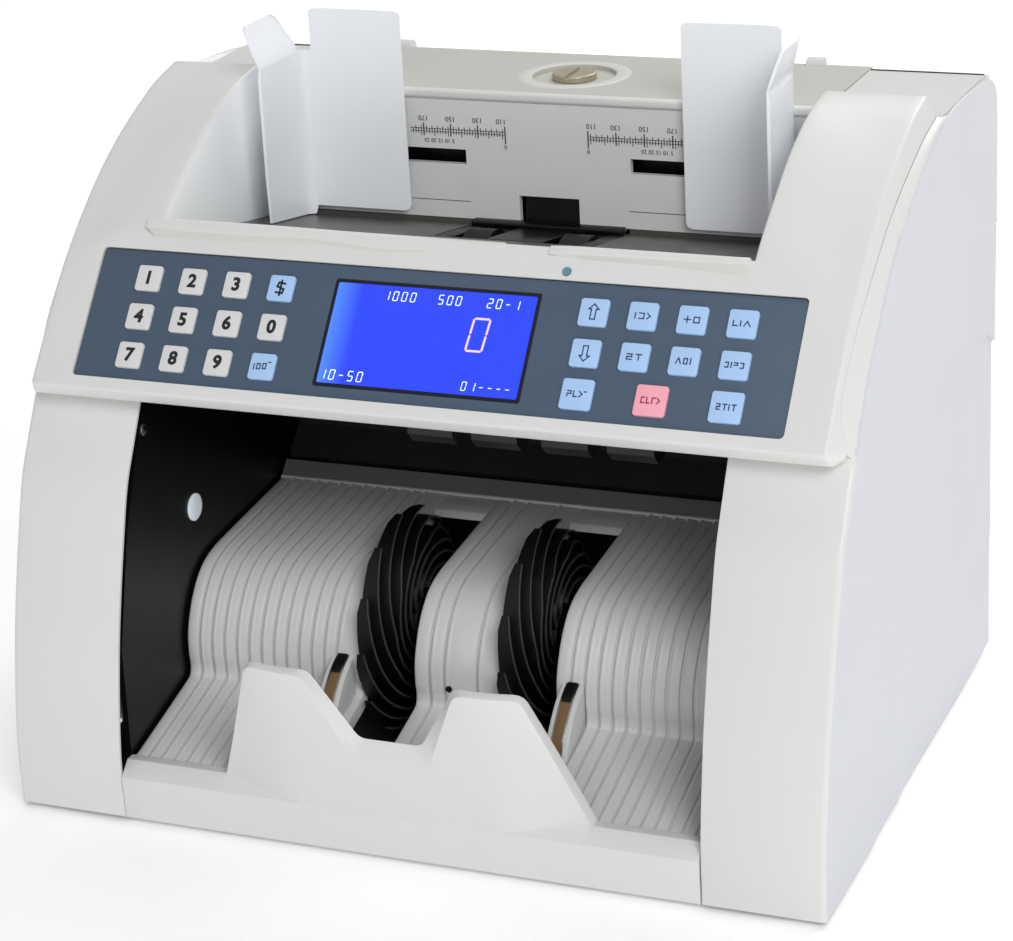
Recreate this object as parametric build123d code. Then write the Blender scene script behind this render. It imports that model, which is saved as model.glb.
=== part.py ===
"""Banknote counting machine: front hopper, sloping key panel, fan-wheel stacker pocket.

Built in millimetres, +X to the operator's right, +Y from the front to the rear, +Z up.
Depths are written from the front bar (0) backwards and shifted to the centre when exported.
"""
import os
from math import cos, radians, sin

from build123d import *

# ---- driving dimensions -------------------------------------------------------------
HALF_W = 145.0          # half the width over the side covers
REAR_Y = 221.5          # rear face, from the front bar
STOP_TOP = 70.0         # height of the W-shaped stop before it is tilted
STOP_LEAN = 12.0        # degrees the stop leans forward over the bar
STOP_ROOT = (0.6, 17.0)         # depth and height of the line it tilts about
FRONT_Y = STOP_ROOT[0] - (STOP_TOP - STOP_ROOT[1]) * sin(radians(STOP_LEAN))
MID_Y = (REAR_Y + FRONT_Y) / 2
GROUND_GAP = 2.0        # covers stop this far above the feet
WALL = 3.0              # moulded wall
HOUSING_X = 139.0       # half width of the front housing
ARM_IN = 104.4          # half width of the hopper
OPEN_X = 103.8          # half width of the pocket mouth
TOP_Z = 221.5           # flat top behind the hopper
CHEEK_Y = 147.0         # the arms end here and the flat top begins
DOOR_Y = 211.0          # rear door starts here
DOOR_Z = 121.5          # lower edge of the rear door
COVER_REAR = 215.4      # rear edge of the top cover
HINGE_Y, HINGE_Z = 216.6, 220.3
KNUCKLE_X = 80.0

PANEL_TOP = (59.1, 186.6)       # upper edge of the key overlay (depth, height)
PANEL_TILT = 50.1               # degrees from level
OVERLAY_W, OVERLAY_H = 248.5, 46.3
LCD_W, LCD_H, LCD_V = 72.8, 37.8, -23.6
KEY_TRAVEL = 0.8
KEY_PITCH = 16.5
LEFT_COLS = (-104.7, -88.2, -71.7, -55.2)
RIGHT_COLS = (55.2, 71.7, 88.2, 104.7)
RIGHT_LOW_COLS = (55.2, 79.9, 104.6)
ROWS = (-10.1, -24.0, -37.9)

BACK_Y = 155.6          # face of the hopper back plate
TABLE_FRONT = (68.5, 187.5)
TABLE_REAR = (155.2, 173.0)

WHEEL_Y, WHEEL_Z = 86.5, 48.0   # stacker shaft
WHEEL_R = 40.5
WHEEL_X = 26.0
SLOT_IN, SLOT_OUT = 16.0, 36.0  # the two slots of the stacker plate

PICK_Y, PICK_Z, PICK_R = 136.0, 164.0, 13.2
FEED_Y, FEED_Z, FEED_R = 166.0, 158.0, 15.0
GUIDE_IN, GUIDE_OUT = 52.0, 92.5
GUIDE_SLOT_Z = (194.7, 200.1)
PINION_R, PINION_Z = 6.0, 198.0

OUT_DIR = "parts"
os.makedirs(OUT_DIR, exist_ok=True)


# ---- small helpers ------------------------------------------------------------------
def block(x0, x1, y0, y1, z0, z1):
    """Box between two corners."""
    centre = Pos((x0 + x1) / 2, (y0 + y1) / 2, (z0 + z1) / 2)
    return centre * Box(x1 - x0, y1 - y0, z1 - z0)


def prism(points, x0, x1):
    """Polygon in depth and height, drawn out across the machine."""
    outline = make_face(Polyline(*points, close=True))
    return extrude(Plane.YZ.offset(x0) * outline, x1 - x0)


def both(shape):
    """A shape and its mirror image left to right."""
    return shape + mirror(shape, Plane.YZ)


def rod_x(x0, x1, y, z, r):
    """Round bar along the width."""
    return Pos((x0 + x1) / 2, y, z) * Rot(0, 90, 0) * Cylinder(r, x1 - x0)


def rod_y(x, y0, y1, z, r):
    """Round bar along the depth."""
    return Pos(x, (y0 + y1) / 2, z) * Rot(90, 0, 0) * Cylinder(r, y1 - y0)


def rod_z(x, y, z0, z1, r):
    """Upright round bar."""
    return Pos(x, y, (z0 + z1) / 2) * Cylinder(r, z1 - z0)


PANEL = Plane(
    origin=(0, PANEL_TOP[0], PANEL_TOP[1]),
    x_dir=(1, 0, 0),
    z_dir=(0, -sin(radians(PANEL_TILT)), cos(radians(PANEL_TILT))),
)


def on_panel(u0, u1, v0, v1, w0, w1):
    """Box in the tilted panel: across, up the slope, outwards."""
    return PANEL * block(u0, u1, v0, v1, w0, w1)


def save(name, shape):
    """Write one piece, shifted so the machine is centred on its footprint."""
    moved = Pos(0, -MID_Y, 0) * shape
    export_step(moved, os.path.join(OUT_DIR, name + ".step"))


# ---- covers -------------------------------------------------------------------------
def side_outline(inset):
    """Outline of a side cover: curved pillar, shoulder, flat top, upright rear."""
    i = inset
    front = Spline((0.5 + i, 25), (5.3 + i, 55), (17.4 + i, 99.6), (30 + i, 127), (38.5 + i, 141.5))
    shoulder = Spline(
        (38.5 + i, 141.5),
        (48 + i, 160 - i * 0.4),
        (85.6 + i * 0.7, 195.8 - i * 0.8),
        (130, 217 - i),
        (168, 222.5 - i),
    )
    rest = Polyline(
        (168, 222.5 - i),
        (214.0, TOP_Z - i),
        (REAR_Y - i, 213.0),
        (REAR_Y - i, GROUND_GAP + i),
        (i, GROUND_GAP + i),
        (0.5 + i, 25),
    )
    return make_face([front, shoulder, rest])


def side_solid(inset, x0, x1):
    """The side outline drawn out between two widths."""
    return extrude(Plane.YZ.offset(x0) * side_outline(inset), x1 - x0)


def make_side_cover():
    """Right-hand side cover with its front pillar."""
    skin = side_solid(0, HALF_W - WALL, HALF_W)
    rim = side_solid(0, HOUSING_X + 0.4, HALF_W - WALL) - side_solid(WALL, HOUSING_X, HALF_W)
    rim = rim - block(HOUSING_X, HALF_W - WALL, DOOR_Y - 1.0, REAR_Y + 1, DOOR_Z - 1.0, TOP_Z + 2)
    pillar = side_solid(0, OPEN_X, HALF_W - WALL) - side_solid(WALL, OPEN_X - 1, HALF_W)
    pillar = pillar & block(OPEN_X - 2, HALF_W, -5, 60, 0, 141.5)
    pillar = pillar - block(OPEN_X - 2, HOUSING_X + 0.4, 8, 60, 0, 20)
    return skin + rim + pillar


def arm_points(drop, back):
    """Side profile of a hopper arm: panel slope, crown, then down to the flat top."""
    d = drop
    return [
        (26.4 + d * 1.31, 148.2 + back),
        (51.9 + d * 0.8, 177.8 - d * 0.62),
        (64.5 + d * 0.72, 189.4 - d * 0.7),
        (85.2 + d * 0.6, 205.7 - d * 0.82),
        (101.0 + d * 0.42, 214.1 - d * 0.9),
        (117.0 + d * 0.35, 221.1 - d * 0.93),
        (132.9 + d * 0.2, 226.8 - d * 0.97),
        (CHEEK_Y - d, 229.2 - d),
        (CHEEK_Y - d, 148.2 + back),
    ]


def make_front_housing():
    """Sloping panel, two arms beside the hopper and the flat cheeks behind them."""
    arm = prism(arm_points(0, 0), ARM_IN, HOUSING_X) - prism(arm_points(WALL, -1), ARM_IN + 2.4, HOUSING_X - 2.4)
    arm = arm - block(ARM_IN + 2.4, HOUSING_X - 2.4, CHEEK_Y - 4, CHEEK_Y + 1, 140, TOP_Z - 3)
    cheek = block(ARM_IN - 3.0, HOUSING_X, CHEEK_Y - 3, DOOR_Y - 0.3, TOP_Z - WALL, TOP_Z)
    cheek = cheek - block(ARM_IN - 4, ARM_IN, CHEEK_Y - 4, BACK_Y + 3, TOP_Z - 4, TOP_Z + 1)
    arm = arm - block(ARM_IN - 1, ARM_IN + 2.6, 124, CHEEK_Y + 1, 140, 171)
    wings = both(arm + cheek)
    slope_len = 62.0
    face = on_panel(-ARM_IN - 1, ARM_IN + 1, -slope_len + 12.2, 11.5, -4.0, 0)
    brow = both(on_panel(36, 103, 8.0, 12.0, -2.0, 1.6))
    hopper_front = block(-ARM_IN - 1, ARM_IN + 1, 66.2, 68.2, 176, 193.5)
    lip = prism([(26.4, 148.2), (29.4, 142.8), (34, 142.8), (34, 145.8), (31, 152)], -HOUSING_X, HOUSING_X)
    shelf = block(-HOUSING_X, HOUSING_X, 33, 44, 142.8, 145.8)
    body = wings + face + brow + hopper_front + lip + shelf
    recess = on_panel(-OVERLAY_W / 2 - 0.3, OVERLAY_W / 2 + 0.3, -OVERLAY_H - 0.3, 0.3, -1.4, 3)
    under = on_panel(-OVERLAY_W / 2, OVERLAY_W / 2, -OVERLAY_H - 2, 1, -12.0, -4.0)
    window = on_panel(-LCD_W / 2 - 1, LCD_W / 2 + 1, LCD_V - LCD_H / 2 - 1, LCD_V + LCD_H / 2 + 1, -9, 3)
    body = body - recess - under - window
    backing = both(on_panel(100, OVERLAY_W / 2 + 1, -OVERLAY_H - 2, 1, -4.0, -1.4))
    body = body + (backing - window)
    body = body - key_holes(0.35, -9, 3)
    body = body - PANEL * (Pos(43.3, 3.1, 0) * Cylinder(1.5, 30))
    return body


def key_layout():
    """Name, across, up the slope, width and height of every key cap."""
    caps = []
    left_names = (("key_1", "key_2", "key_3", "key_mode"),
                  ("key_4", "key_5", "key_6", "key_0"),
                  ("key_7", "key_8", "key_9", "key_batch"))
    for row, names in zip(ROWS, left_names):
        for col, name in zip(LEFT_COLS, names):
            caps.append((name, col, row, 9.0, 9.1))
    right_names = (("key_up", "key_count", "key_add", "key_detect"),
                   ("key_down", "key_report", "key_print", "key_set"))
    for row, names in zip(ROWS[:2], right_names):
        for col, name in zip(RIGHT_COLS, names):
            caps.append((name, col, row, 9.6, 9.4))
    for col, name in zip(RIGHT_LOW_COLS, ("key_clear", "key_start", "key_menu")):
        caps.append((name, col, ROWS[2], 10.5, 10.3))
    return caps


def key_holes(gap, w0, w1):
    """All key openings, one gap larger than the caps."""
    holes = None
    for _, u, v, w, h in key_layout():
        hole = on_panel(u - w / 2 - gap, u + w / 2 + gap, v - h / 2 - gap, v + h / 2 + gap, w0, w1)
        holes = hole if holes is None else holes + hole
    return holes


def make_key(u, v, w, h):
    """Rounded cap on a retaining flange."""
    cap = Pos(u, v, -2.4) * Box(w, h, 5.6)
    cap = fillet(cap.edges().filter_by(Axis.Z), 1.6)
    cap = fillet(cap.faces().sort_by(Axis.Z)[-1].edges(), 0.4)
    flange = Pos(u, v, -4.9) * Box(w + 2.0, h + 2.0, 0.6)
    return PANEL * (cap + flange)


def make_overlay():
    """Thin printed overlay with openings for the keys and the window."""
    sheet = Pos(0, -OVERLAY_H / 2, -1.1) * Box(OVERLAY_W, OVERLAY_H, 0.6)
    sheet = fillet(sheet.edges().filter_by(Axis.Z), 3.0)
    sheet = PANEL * sheet
    window = on_panel(-LCD_W / 2, LCD_W / 2, LCD_V - LCD_H / 2, LCD_V + LCD_H / 2, -9, 3)
    return sheet - window - key_holes(0.3, -9, 3)


def make_window():
    """Clear window over the display."""
    pane = Pos(0, LCD_V, -1.2) * Box(LCD_W - 0.2, LCD_H - 0.2, 0.8)
    return PANEL * pane


def make_display_board():
    """Circuit board behind the panel with the display module standing on it."""
    board = on_panel(-118, 118, -45.5, -0.5, -8.4, -6.8)
    module = on_panel(-LCD_W / 2 - 0.6, LCD_W / 2 + 0.6, LCD_V - LCD_H / 2 - 0.6, LCD_V + LCD_H / 2 + 0.6,
                      -6.8, -1.7)
    chips = on_panel(-40, -22, -38, -24, -10.6, -8.4) + on_panel(12, 30, -30, -20, -10.4, -8.4)
    return board + module + chips


def make_status_led():
    """Round indicator above the display."""
    lamp = Pos(43.3, 3.1, -1.9) * Cylinder(1.4, 4.8)
    lamp = lamp + Pos(43.3, 3.1, -4.4) * Cylinder(2.0, 0.7)
    return PANEL * lamp


def make_top_cover():
    """Flat cover behind the hopper with a shallow dish for the gap knob."""
    plate = block(-101.0, 101.0, BACK_Y, COVER_REAR, TOP_Z - WALL, TOP_Z)
    plate = plate - rod_z(0, 185, TOP_Z - 1.4, TOP_Z + 1, 15.0)
    plate = plate - both(block(KNUCKLE_X - 3.4, KNUCKLE_X + 3.4, 212.6, 220, 210, 230))
    return plate - rod_z(0, 185, TOP_Z - 10, TOP_Z + 1, 4.3)


def make_gap_knob():
    """Slotted disc on a threaded stem that sets the feed gap."""
    disc = rod_z(0, 185, TOP_Z - 1.2, TOP_Z + 1.0, 8.0)
    disc = fillet(disc.faces().sort_by(Axis.Z)[-1].edges(), 0.6)
    disc = disc - block(-1.0, 1.0, 176, 194, TOP_Z - 0.1, TOP_Z + 2)
    return disc + rod_z(0, 185, 192.2, TOP_Z - 1.2, 4.0)


def make_rear_door():
    """Rear door between the side covers, hung from two knuckles on its top edge."""
    half = HALF_W - WALL - 0.4
    top = TOP_Z - 2.0
    skin = block(-half, half, DOOR_Y, REAR_Y, DOOR_Z, top)
    skin = skin - block(-half + WALL, half - WALL, DOOR_Y - 1, REAR_Y - WALL, DOOR_Z - 1, top - WALL)
    skin = skin - block(-101.6, 101.6, DOOR_Y - 1, COVER_REAR + 0.4, top - WALL - 1, top + 1)
    top_edge = skin.edges().filter_by(Axis.X).group_by(Axis.Z)[-1].sort_by(Axis.Y)[-1]
    skin = fillet(top_edge, 2.5)
    for x in (-KNUCKLE_X, KNUCKLE_X):
        skin = skin + rod_x(x - 3, x + 3, HINGE_Y, HINGE_Z, 3.5)
        skin = skin + block(x - 3, x + 3, HINGE_Y - 2, HINGE_Y + 3, top - WALL, HINGE_Z)
    for z in range(140, 200, 8):
        skin = skin - block(-60, 60, REAR_Y - 5, REAR_Y + 1, z, z + 3)
    return skin


# ---- hopper -------------------------------------------------------------------------
def make_back_plate():
    """Upright plate behind the notes with the guide slots and the roller mouth."""
    plate = block(-ARM_IN + 0.3, ARM_IN - 0.3, BACK_Y, BACK_Y + 2.4, 174.8, TOP_Z - WALL)
    plate = plate - both(block(31.0, 78.0, BACK_Y - 1, BACK_Y + 4, *GUIDE_SLOT_Z))
    plate = plate - block(-11.3, 11.3, BACK_Y - 1, BACK_Y + 4, 174, 184.4)
    return plate + rod_y(0, BACK_Y + 2.4, BACK_Y + 8.6, PINION_Z, 2.0)


def make_feed_table():
    """Sloping hopper floor, open in the middle for the pick-up rollers."""
    (y0, z0), (y1, z1) = TABLE_FRONT, TABLE_REAR
    sheet = prism([(y0, z0), (y1, z1), (y1, z1 - 2), (y0, z0 - 2)], -ARM_IN + 0.3, ARM_IN - 0.3)
    mouth = block(-30, 30, 120, 153, 150, 200)
    ribs = None
    for x in (-88, -66, -44, 44, 66, 88):
        rib = prism([(y0 + 4, z0 - 2.5), (y1 - 4, z1 - 1), (y1 - 4, z1 - 5), (y0 + 4, z0 - 6)], x - 1, x + 1)
        ribs = rib if ribs is None else ribs + rib
    return (sheet - mouth) + ribs


def make_guide():
    """Right-hand note guide: upright wall, side wall, flared top and its rack."""
    back = block(GUIDE_IN, GUIDE_OUT - 2, 151.4, 153.4, 177.2, 250.0)
    back = fillet(back.edges().filter_by(Axis.Y).sort_by(Axis.X)[:2], 3.0)
    side = block(GUIDE_OUT - 2, GUIDE_OUT, 120.5, 153.4, 181.0, 235.0)
    flare = [(GUIDE_OUT - 2, 234), (GUIDE_OUT, 234), (GUIDE_OUT + 5.6, 248.6), (GUIDE_OUT + 3.8, 249.4)]
    wing = extrude(Plane.XZ.offset(-149.0) * make_face(Polyline(*flare, close=True)), 28.5)
    arm = block(66, 74, 153.4, 163.0, 195.2, 199.6)
    return back + side + wing + arm


def make_guide_right():
    """Right guide with the lower rack."""
    web = block(66, 74, 160.2, 163.0, 188.6, 199.6)
    rack = block(-3, 74, 160.2, 163.0, 188.6, 191.6)
    return make_guide() + web + rack


def make_guide_left():
    """Left guide with the upper rack."""
    web = block(-74, -66, 160.2, 163.0, 195.2, 207.4)
    rack = block(-74, 3, 160.2, 163.0, 204.4, 207.4)
    return mirror(make_guide(), Plane.YZ) + web + rack


def make_pinion():
    """Pinion that links the two racks."""
    wheel = rod_y(0, 160.2, 163.0, PINION_Z, PINION_R)
    return wheel - rod_y(0, 158, 166, PINION_Z, 2.05)


def roller_shaft(y, z, r_roller, r_shaft, half, tyre_half, tyre_at):
    """Steel shaft with pairs of rubber-tyred rollers."""
    shaft = rod_x(-half, half, y, z, r_shaft)
    for x in tyre_at:
        roller = rod_x(x - tyre_half, x + tyre_half, y, z, r_roller)
        for k in range(8):
            a = radians(45 * k)
            roller = roller - rod_x(x - 20, x + 20, y + r_roller * cos(a) * 0.72, z + r_roller * sin(a) * 0.72, 1.2)
        shaft = shaft + roller
    return shaft


def make_retard_block():
    """Separator block over the feed rollers, moved by the gap knob."""
    shoe = prism([(158.6, 174.6), (160, 183.8), (175, 187), (175, 176), (166, 173.6)], -10.6, 10.6)
    stem = block(-12, 12, 176, 194, 176, 190.5)
    return shoe + stem + block(-10.6, 10.6, 174, 177, 176, 187)


# ---- stacker pocket -----------------------------------------------------------------
def plate_outline(t):
    """Closed section of the stacker plate: sloping floor, bulge over the wheels, flat shelf."""
    outer = [(8.0, 20.8), (52.5, 32.6), (51.8, 41.0), (53.0, 49.5), (58.5, 61.0), (66.0, 68.8), (76.0, 72.6),
             (133.0, 76.6)]
    inner = [(133.0, 76.6 - t), (77.0, 72.6 - t), (67.8, 68.8 - t), (61.0, 59.8), (55.6, 48.8), (54.4, 41.0),
             (55.0, 30.2), (8.0, 20.8 - t)]
    return outer + inner


def make_stacker_plate():
    """Stacker plate in three blocks with slots for the fan wheels."""
    plate = prism(plate_outline(2.6), -103.4, 103.4)
    slot = block(SLOT_IN, SLOT_OUT, 12.0, 130.4, 10, 100)
    return plate - both(slot)


def make_ledge():
    """Plain strip along the rear edge of the stacker plate."""
    points = [(133.4, 77.0), (138.4, 82.2), (139.8, 80.8), (135.4, 76.2), (135.4, 70), (133.4, 70)]
    return prism(points, -103.4, 103.4)


def make_exit_chute():
    """Curved plate above the ledge with the sensor housings hanging in front of it."""
    points = [(141.0, 83.0), (151.0, 92.0), (159.0, 104.0), (163.0, 120.0), (163.0, 140.0),
              (165.4, 140.0), (165.4, 119.5), (161.2, 103.0), (152.6, 90.4), (142.4, 81.2)]
    plate = prism(points, -103.4, 103.4)
    beam = block(-103.4, 103.4, 108, 114, 134, 140)
    blocks = None
    for x, w in ((-33, 17), (-9, 17), (17, 17), (41, 17)):
        one = prism([(96, 134), (112, 134), (112, 112), (100, 110), (96, 114)], x, x + w)
        blocks = one if blocks is None else blocks + one
    bridge = both(block(96, 103.4, 108, 165.4, 136, 140))
    return plate + beam + blocks + bridge


def make_pocket_wall():
    """Right-hand inner wall of the pocket, bored for the stacker shaft."""
    points = [(9, 8), (150, 8), (176, 60), (176, 141), (43, 141.5), (34, 127), (21.4, 99.6), (9.8, 60)]
    wall = prism(points, 104.4, 106.4)
    return wall - rod_x(100, 110, WHEEL_Y, WHEEL_Z, 4.05)


def fan_wheel(x_mid):
    """Hub with swept blades that turn the notes onto the stack."""
    half = 7.5
    wheel = rod_x(x_mid - half, x_mid + half, WHEEL_Y, WHEEL_Z, 13.0)
    lead = ((12.0, 0.0), (21.0, 18.0), (31.0, 40.0), (WHEEL_R, 66.0))
    trail = ((WHEEL_R - 0.6, 62.0), (30.2, 34.0), (20.0, 9.0), (11.0, -12.0))
    for k in range(9):
        outline = []
        for r, turn in lead + trail:
            a = radians(40.0 * k + turn)
            outline.append((WHEEL_Y + r * cos(a), WHEEL_Z + r * sin(a)))
        wheel = wheel + prism(outline, x_mid - half, x_mid + half)
    return wheel - rod_x(x_mid - 20, x_mid + 20, WHEEL_Y, WHEEL_Z, 4.0)


def make_stacker_shaft():
    """Shaft through the pocket walls with a belt pulley outside the right wall."""
    shaft = rod_x(-112, 118, WHEEL_Y, WHEEL_Z, 3.97)
    return shaft + rod_x(109, 117, WHEEL_Y, WHEEL_Z, 15)


def make_front_guard():
    """Front bar with the W-shaped stop that leans forward over it."""
    bar = prism([(0.2, GROUND_GAP), (-0.4, 17.4), (4.7, 22.0), (7.4, 22.0), (7.4, 19), (3.4, 16), (3.4, GROUND_GAP)],
                -103.5, 103.5)
    top = STOP_TOP
    outline = [(-67, 16), (-48, top), (-26.5, top), (-14.5, 42.5), (14.5, 42.5), (26.5, top), (48, top), (67, 16)]
    sheet = make_face(Polyline(*outline, close=True))
    stop = extrude(Plane.XZ * sheet, -3.0)
    stop = fillet(stop.edges().filter_by(Axis.Y).group_by(Axis.Z)[-1], 4.0)
    lean = Pos(0, STOP_ROOT[0], STOP_ROOT[1]) * Rot(STOP_LEAN, 0, 0) * Pos(0, 0, -STOP_ROOT[1])
    return bar + lean * stop


def make_wear_strips():
    """Two curved corner guides beside the wheel slots."""
    outline = [(34.0, 28.1), (36.5, 34.0), (41.0, 39.5), (46.5, 44.2), (52.2, 47.4), (51.4, 41.0), (51.3, 32.7)]
    return both(prism(outline, 38.4, 46.4))


def make_wall_sensors():
    """Round lenses and screws set in the two pocket walls."""
    items = None
    for x, sign in ((-104.4, 1), (104.4, -1)):
        lens = rod_x(min(x, x + sign * 0.8), max(x, x + sign * 0.8), 68.0, 90.0, 5.0)
        screw = rod_x(min(x, x + sign * 1.0), max(x, x + sign * 1.0), 38.0, 130.0, 2.2)
        pair = lens + screw
        items = pair if items is None else items + pair
    return items


# ---- chassis and drive --------------------------------------------------------------
def make_base_tray():
    """Sheet tray with the lower rear wall and two bearing uprights."""
    tray = block(-139.2, 139.2, 8.0, 218.0, 2.6, 4.6)
    rear = block(-139.2, 139.2, 216.0, 218.0, 4.6, 120.0)
    rear = rear - block(-126.3, -77.7, 214, 220, 26.7, 51.3)
    frames = both(block(108.0, 110.0, 122.0, 198.0, 4.6, 174.0))
    frames = frames - rod_x(-120, 120, FEED_Y, FEED_Z, 4.05) - rod_x(-120, 120, PICK_Y, PICK_Z, 4.05)
    return tray + rear + frames


def make_feet():
    """Four rubber feet."""
    feet = None
    for x in (-120, 120):
        for y in (22, 200):
            foot = rod_z(x, y, 0, 2.6, 8)
            feet = foot if feet is None else feet + foot
    return feet


def make_motor(x0, x1, y, z, r):
    """Small motor with its end boss, foot and pulley shaft."""
    can = rod_x(x0, x1, y, z, r)
    foot = block(x0 + 3, x1 - 3, y - r + 2, y + r - 2, 4.6, z)
    return can + foot + rod_x(x1, x1 + 3, y, z, r * 0.4) + rod_x(x1, x1 + 16, y, z, 2.5)


def make_main_board():
    """Control board on pillars with its larger parts."""
    board = block(-95, 35, 144, 206, 10.0, 11.6)
    posts = None
    for x in (-90, 30):
        for y in (148, 202):
            post = rod_z(x, y, 4.6, 10.0, 3)
            posts = post if posts is None else posts + post
    chips = block(-70, -45, 150, 175, 11.6, 14.0) + block(-20, 0, 156, 162, 11.6, 20)
    chips = chips + rod_z(10, 190, 11.6, 26, 6) + rod_z(-10, 190, 11.6, 26, 6)
    return board + posts + chips


def make_power_supply():
    """Closed supply box beside the inlet."""
    box = block(-138, -112.4, 60, 200, 5.0, 70)
    slots = None
    for y in range(72, 190, 10):
        slot = block(-139, -135, y, y + 4, 30, 60)
        slots = slot if slots is None else slots + slot
    return box - slots


def make_inlet_module():
    """Rear module: three-pin inlet with the switch frame beside it."""
    body = block(-126, -96, 200.6, 219.6, 27, 51)
    body = body - block(-122.5, -99.5, 204, 221, 30.5, 47.5)
    for x, z in ((-117, 37), (-111, 41), (-105, 37)):
        body = body + block(x - 1, x + 1, 203, 216, z - 2, z + 2)
    frame = block(-96, -78, 200.6, 219.6, 27, 51)
    return body + frame - block(-94, -80, 208, 221, 30, 48)


def make_power_switch():
    """Rocker of the mains switch."""
    barrel = rod_x(-93.7, -80.3, 214.0, 39.0, 5.2)
    paddle = prism([(213, 34), (220.0, 32.4), (218.6, 38.6), (217.2, 45.6), (213, 44)], -93.7, -80.3)
    return barrel + paddle


# ---- export -------------------------------------------------------------------------
def main():
    """Build and write every piece."""
    side = make_side_cover()
    save("side_cover_right", side)
    save("side_cover_left", mirror(side, Plane.YZ))
    save("front_housing", make_front_housing())
    save("panel_overlay", make_overlay())
    save("lcd_window", make_window())
    save("display_board", make_display_board())
    save("status_led", make_status_led())
    for name, u, v, w, h in key_layout():
        save(name, make_key(u, v, w, h))
    save("top_cover", make_top_cover())
    save("gap_knob", make_gap_knob())
    save("rear_door", make_rear_door())
    save("hopper_back_plate", make_back_plate())
    save("feed_table", make_feed_table())
    save("guide_right", make_guide_right())
    save("guide_left", make_guide_left())
    save("guide_pinion", make_pinion())
    save("pickup_shaft", roller_shaft(PICK_Y, PICK_Z, PICK_R, 3.97, 112, 5, (-18, 18)))
    save("feed_shaft", roller_shaft(FEED_Y, FEED_Z, FEED_R, 3.97, 112, 8, (-60, -20, 20, 60)))
    save("retard_block", make_retard_block())
    save("stacker_plate", make_stacker_plate())
    save("ledge_strip", make_ledge())
    save("exit_chute", make_exit_chute())
    wall = make_pocket_wall()
    save("pocket_wall_right", wall)
    save("pocket_wall_left", mirror(wall, Plane.YZ))
    save("stacker_shaft", make_stacker_shaft())
    save("fan_wheel_left", fan_wheel(-WHEEL_X))
    save("fan_wheel_right", fan_wheel(WHEEL_X))
    save("front_guard", make_front_guard())
    save("wear_strips", make_wear_strips())
    save("wall_sensors", make_wall_sensors())
    save("base_tray", make_base_tray())
    save("feet", make_feet())
    save("main_motor", make_motor(40, 88, 186, 60, 20))
    save("stacker_motor", make_motor(44, 84, 150, 34, 14))
    save("main_board", make_main_board())
    save("power_supply", make_power_supply())
    save("inlet_module", make_inlet_module())
    save("power_switch", make_power_switch())


main()
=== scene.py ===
"""Banknote counting machine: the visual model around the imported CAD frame."""
from math import cos, hypot, pi, radians, sin, tan

import bmesh
import bpy
from mathutils import Matrix, Vector


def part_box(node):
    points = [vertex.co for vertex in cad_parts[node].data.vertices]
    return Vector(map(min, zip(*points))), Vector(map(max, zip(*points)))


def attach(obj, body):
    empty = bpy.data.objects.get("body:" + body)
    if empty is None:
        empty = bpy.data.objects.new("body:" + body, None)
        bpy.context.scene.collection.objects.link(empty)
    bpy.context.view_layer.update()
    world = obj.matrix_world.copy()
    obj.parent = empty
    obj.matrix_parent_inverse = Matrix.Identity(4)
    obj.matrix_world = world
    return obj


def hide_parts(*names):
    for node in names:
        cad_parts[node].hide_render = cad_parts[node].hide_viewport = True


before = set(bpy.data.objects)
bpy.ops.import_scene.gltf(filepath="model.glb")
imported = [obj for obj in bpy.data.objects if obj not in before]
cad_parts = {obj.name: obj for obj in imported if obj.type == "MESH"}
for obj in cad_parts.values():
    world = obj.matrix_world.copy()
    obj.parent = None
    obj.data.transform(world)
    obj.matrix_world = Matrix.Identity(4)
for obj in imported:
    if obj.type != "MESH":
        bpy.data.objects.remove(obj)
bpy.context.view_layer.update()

# ---- frame: millimetres from the front bar, as the CAD is written -------------------
MM = 0.001
MID = 221.5 - 1000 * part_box("side_cover_right")[1].y
TILT = radians(50.1)
CT, ST = cos(TILT), sin(TILT)
PANEL_Y, PANEL_Z = 59.1, 186.6      # top edge of the key panel


def V(x, y, z):
    """Millimetres (across, depth from the front bar, height) to the row frame."""
    return Vector((x * MM, (y - MID) * MM, z * MM))


def P(u, v, w=0.0):
    """Point on the key panel: across, up the slope, outwards."""
    return V(u, PANEL_Y + v * CT - w * ST, PANEL_Z + v * ST + w * CT)


def resample(rows, steps):
    """Catmull-Rom through rows of numbers, with a fixed number of steps between rows."""
    rows = [list(r) for r in rows]
    first = [2 * a - b for a, b in zip(rows[0], rows[1])]
    last = [2 * a - b for a, b in zip(rows[-1], rows[-2])]
    ext = [first] + rows + [last]
    out = []
    for i in range(1, len(ext) - 2):
        for k in range(steps):
            t = k / steps
            out.append([
                0.5 * (2 * b + (c - a) * t + (2 * a - 5 * b + 4 * c - d) * t * t
                       + (3 * b - a - 3 * c + d) * t ** 3)
                for a, b, c, d in zip(*ext[i - 1:i + 3])])
    out.append(rows[-1])
    return out


def even(points, count):
    """A polyline resampled to evenly spaced points."""
    pts = [Vector(p) for p in points]
    lens = [0.0]
    for a, b in zip(pts, pts[1:]):
        lens.append(lens[-1] + (b - a).length)
    out, j = [], 0
    for k in range(count):
        s = lens[-1] * k / (count - 1)
        while j < len(lens) - 2 and lens[j + 1] < s:
            j += 1
        f = (s - lens[j]) / max(lens[j + 1] - lens[j], 1e-9)
        out.append(pts[j].lerp(pts[j + 1], min(max(f, 0.0), 1.0)))
    return out


def ramp(t):
    """Smooth step from 0 to 1."""
    t = min(max(t, 0.0), 1.0)
    return t * t * (3 - 2 * t)


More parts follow.
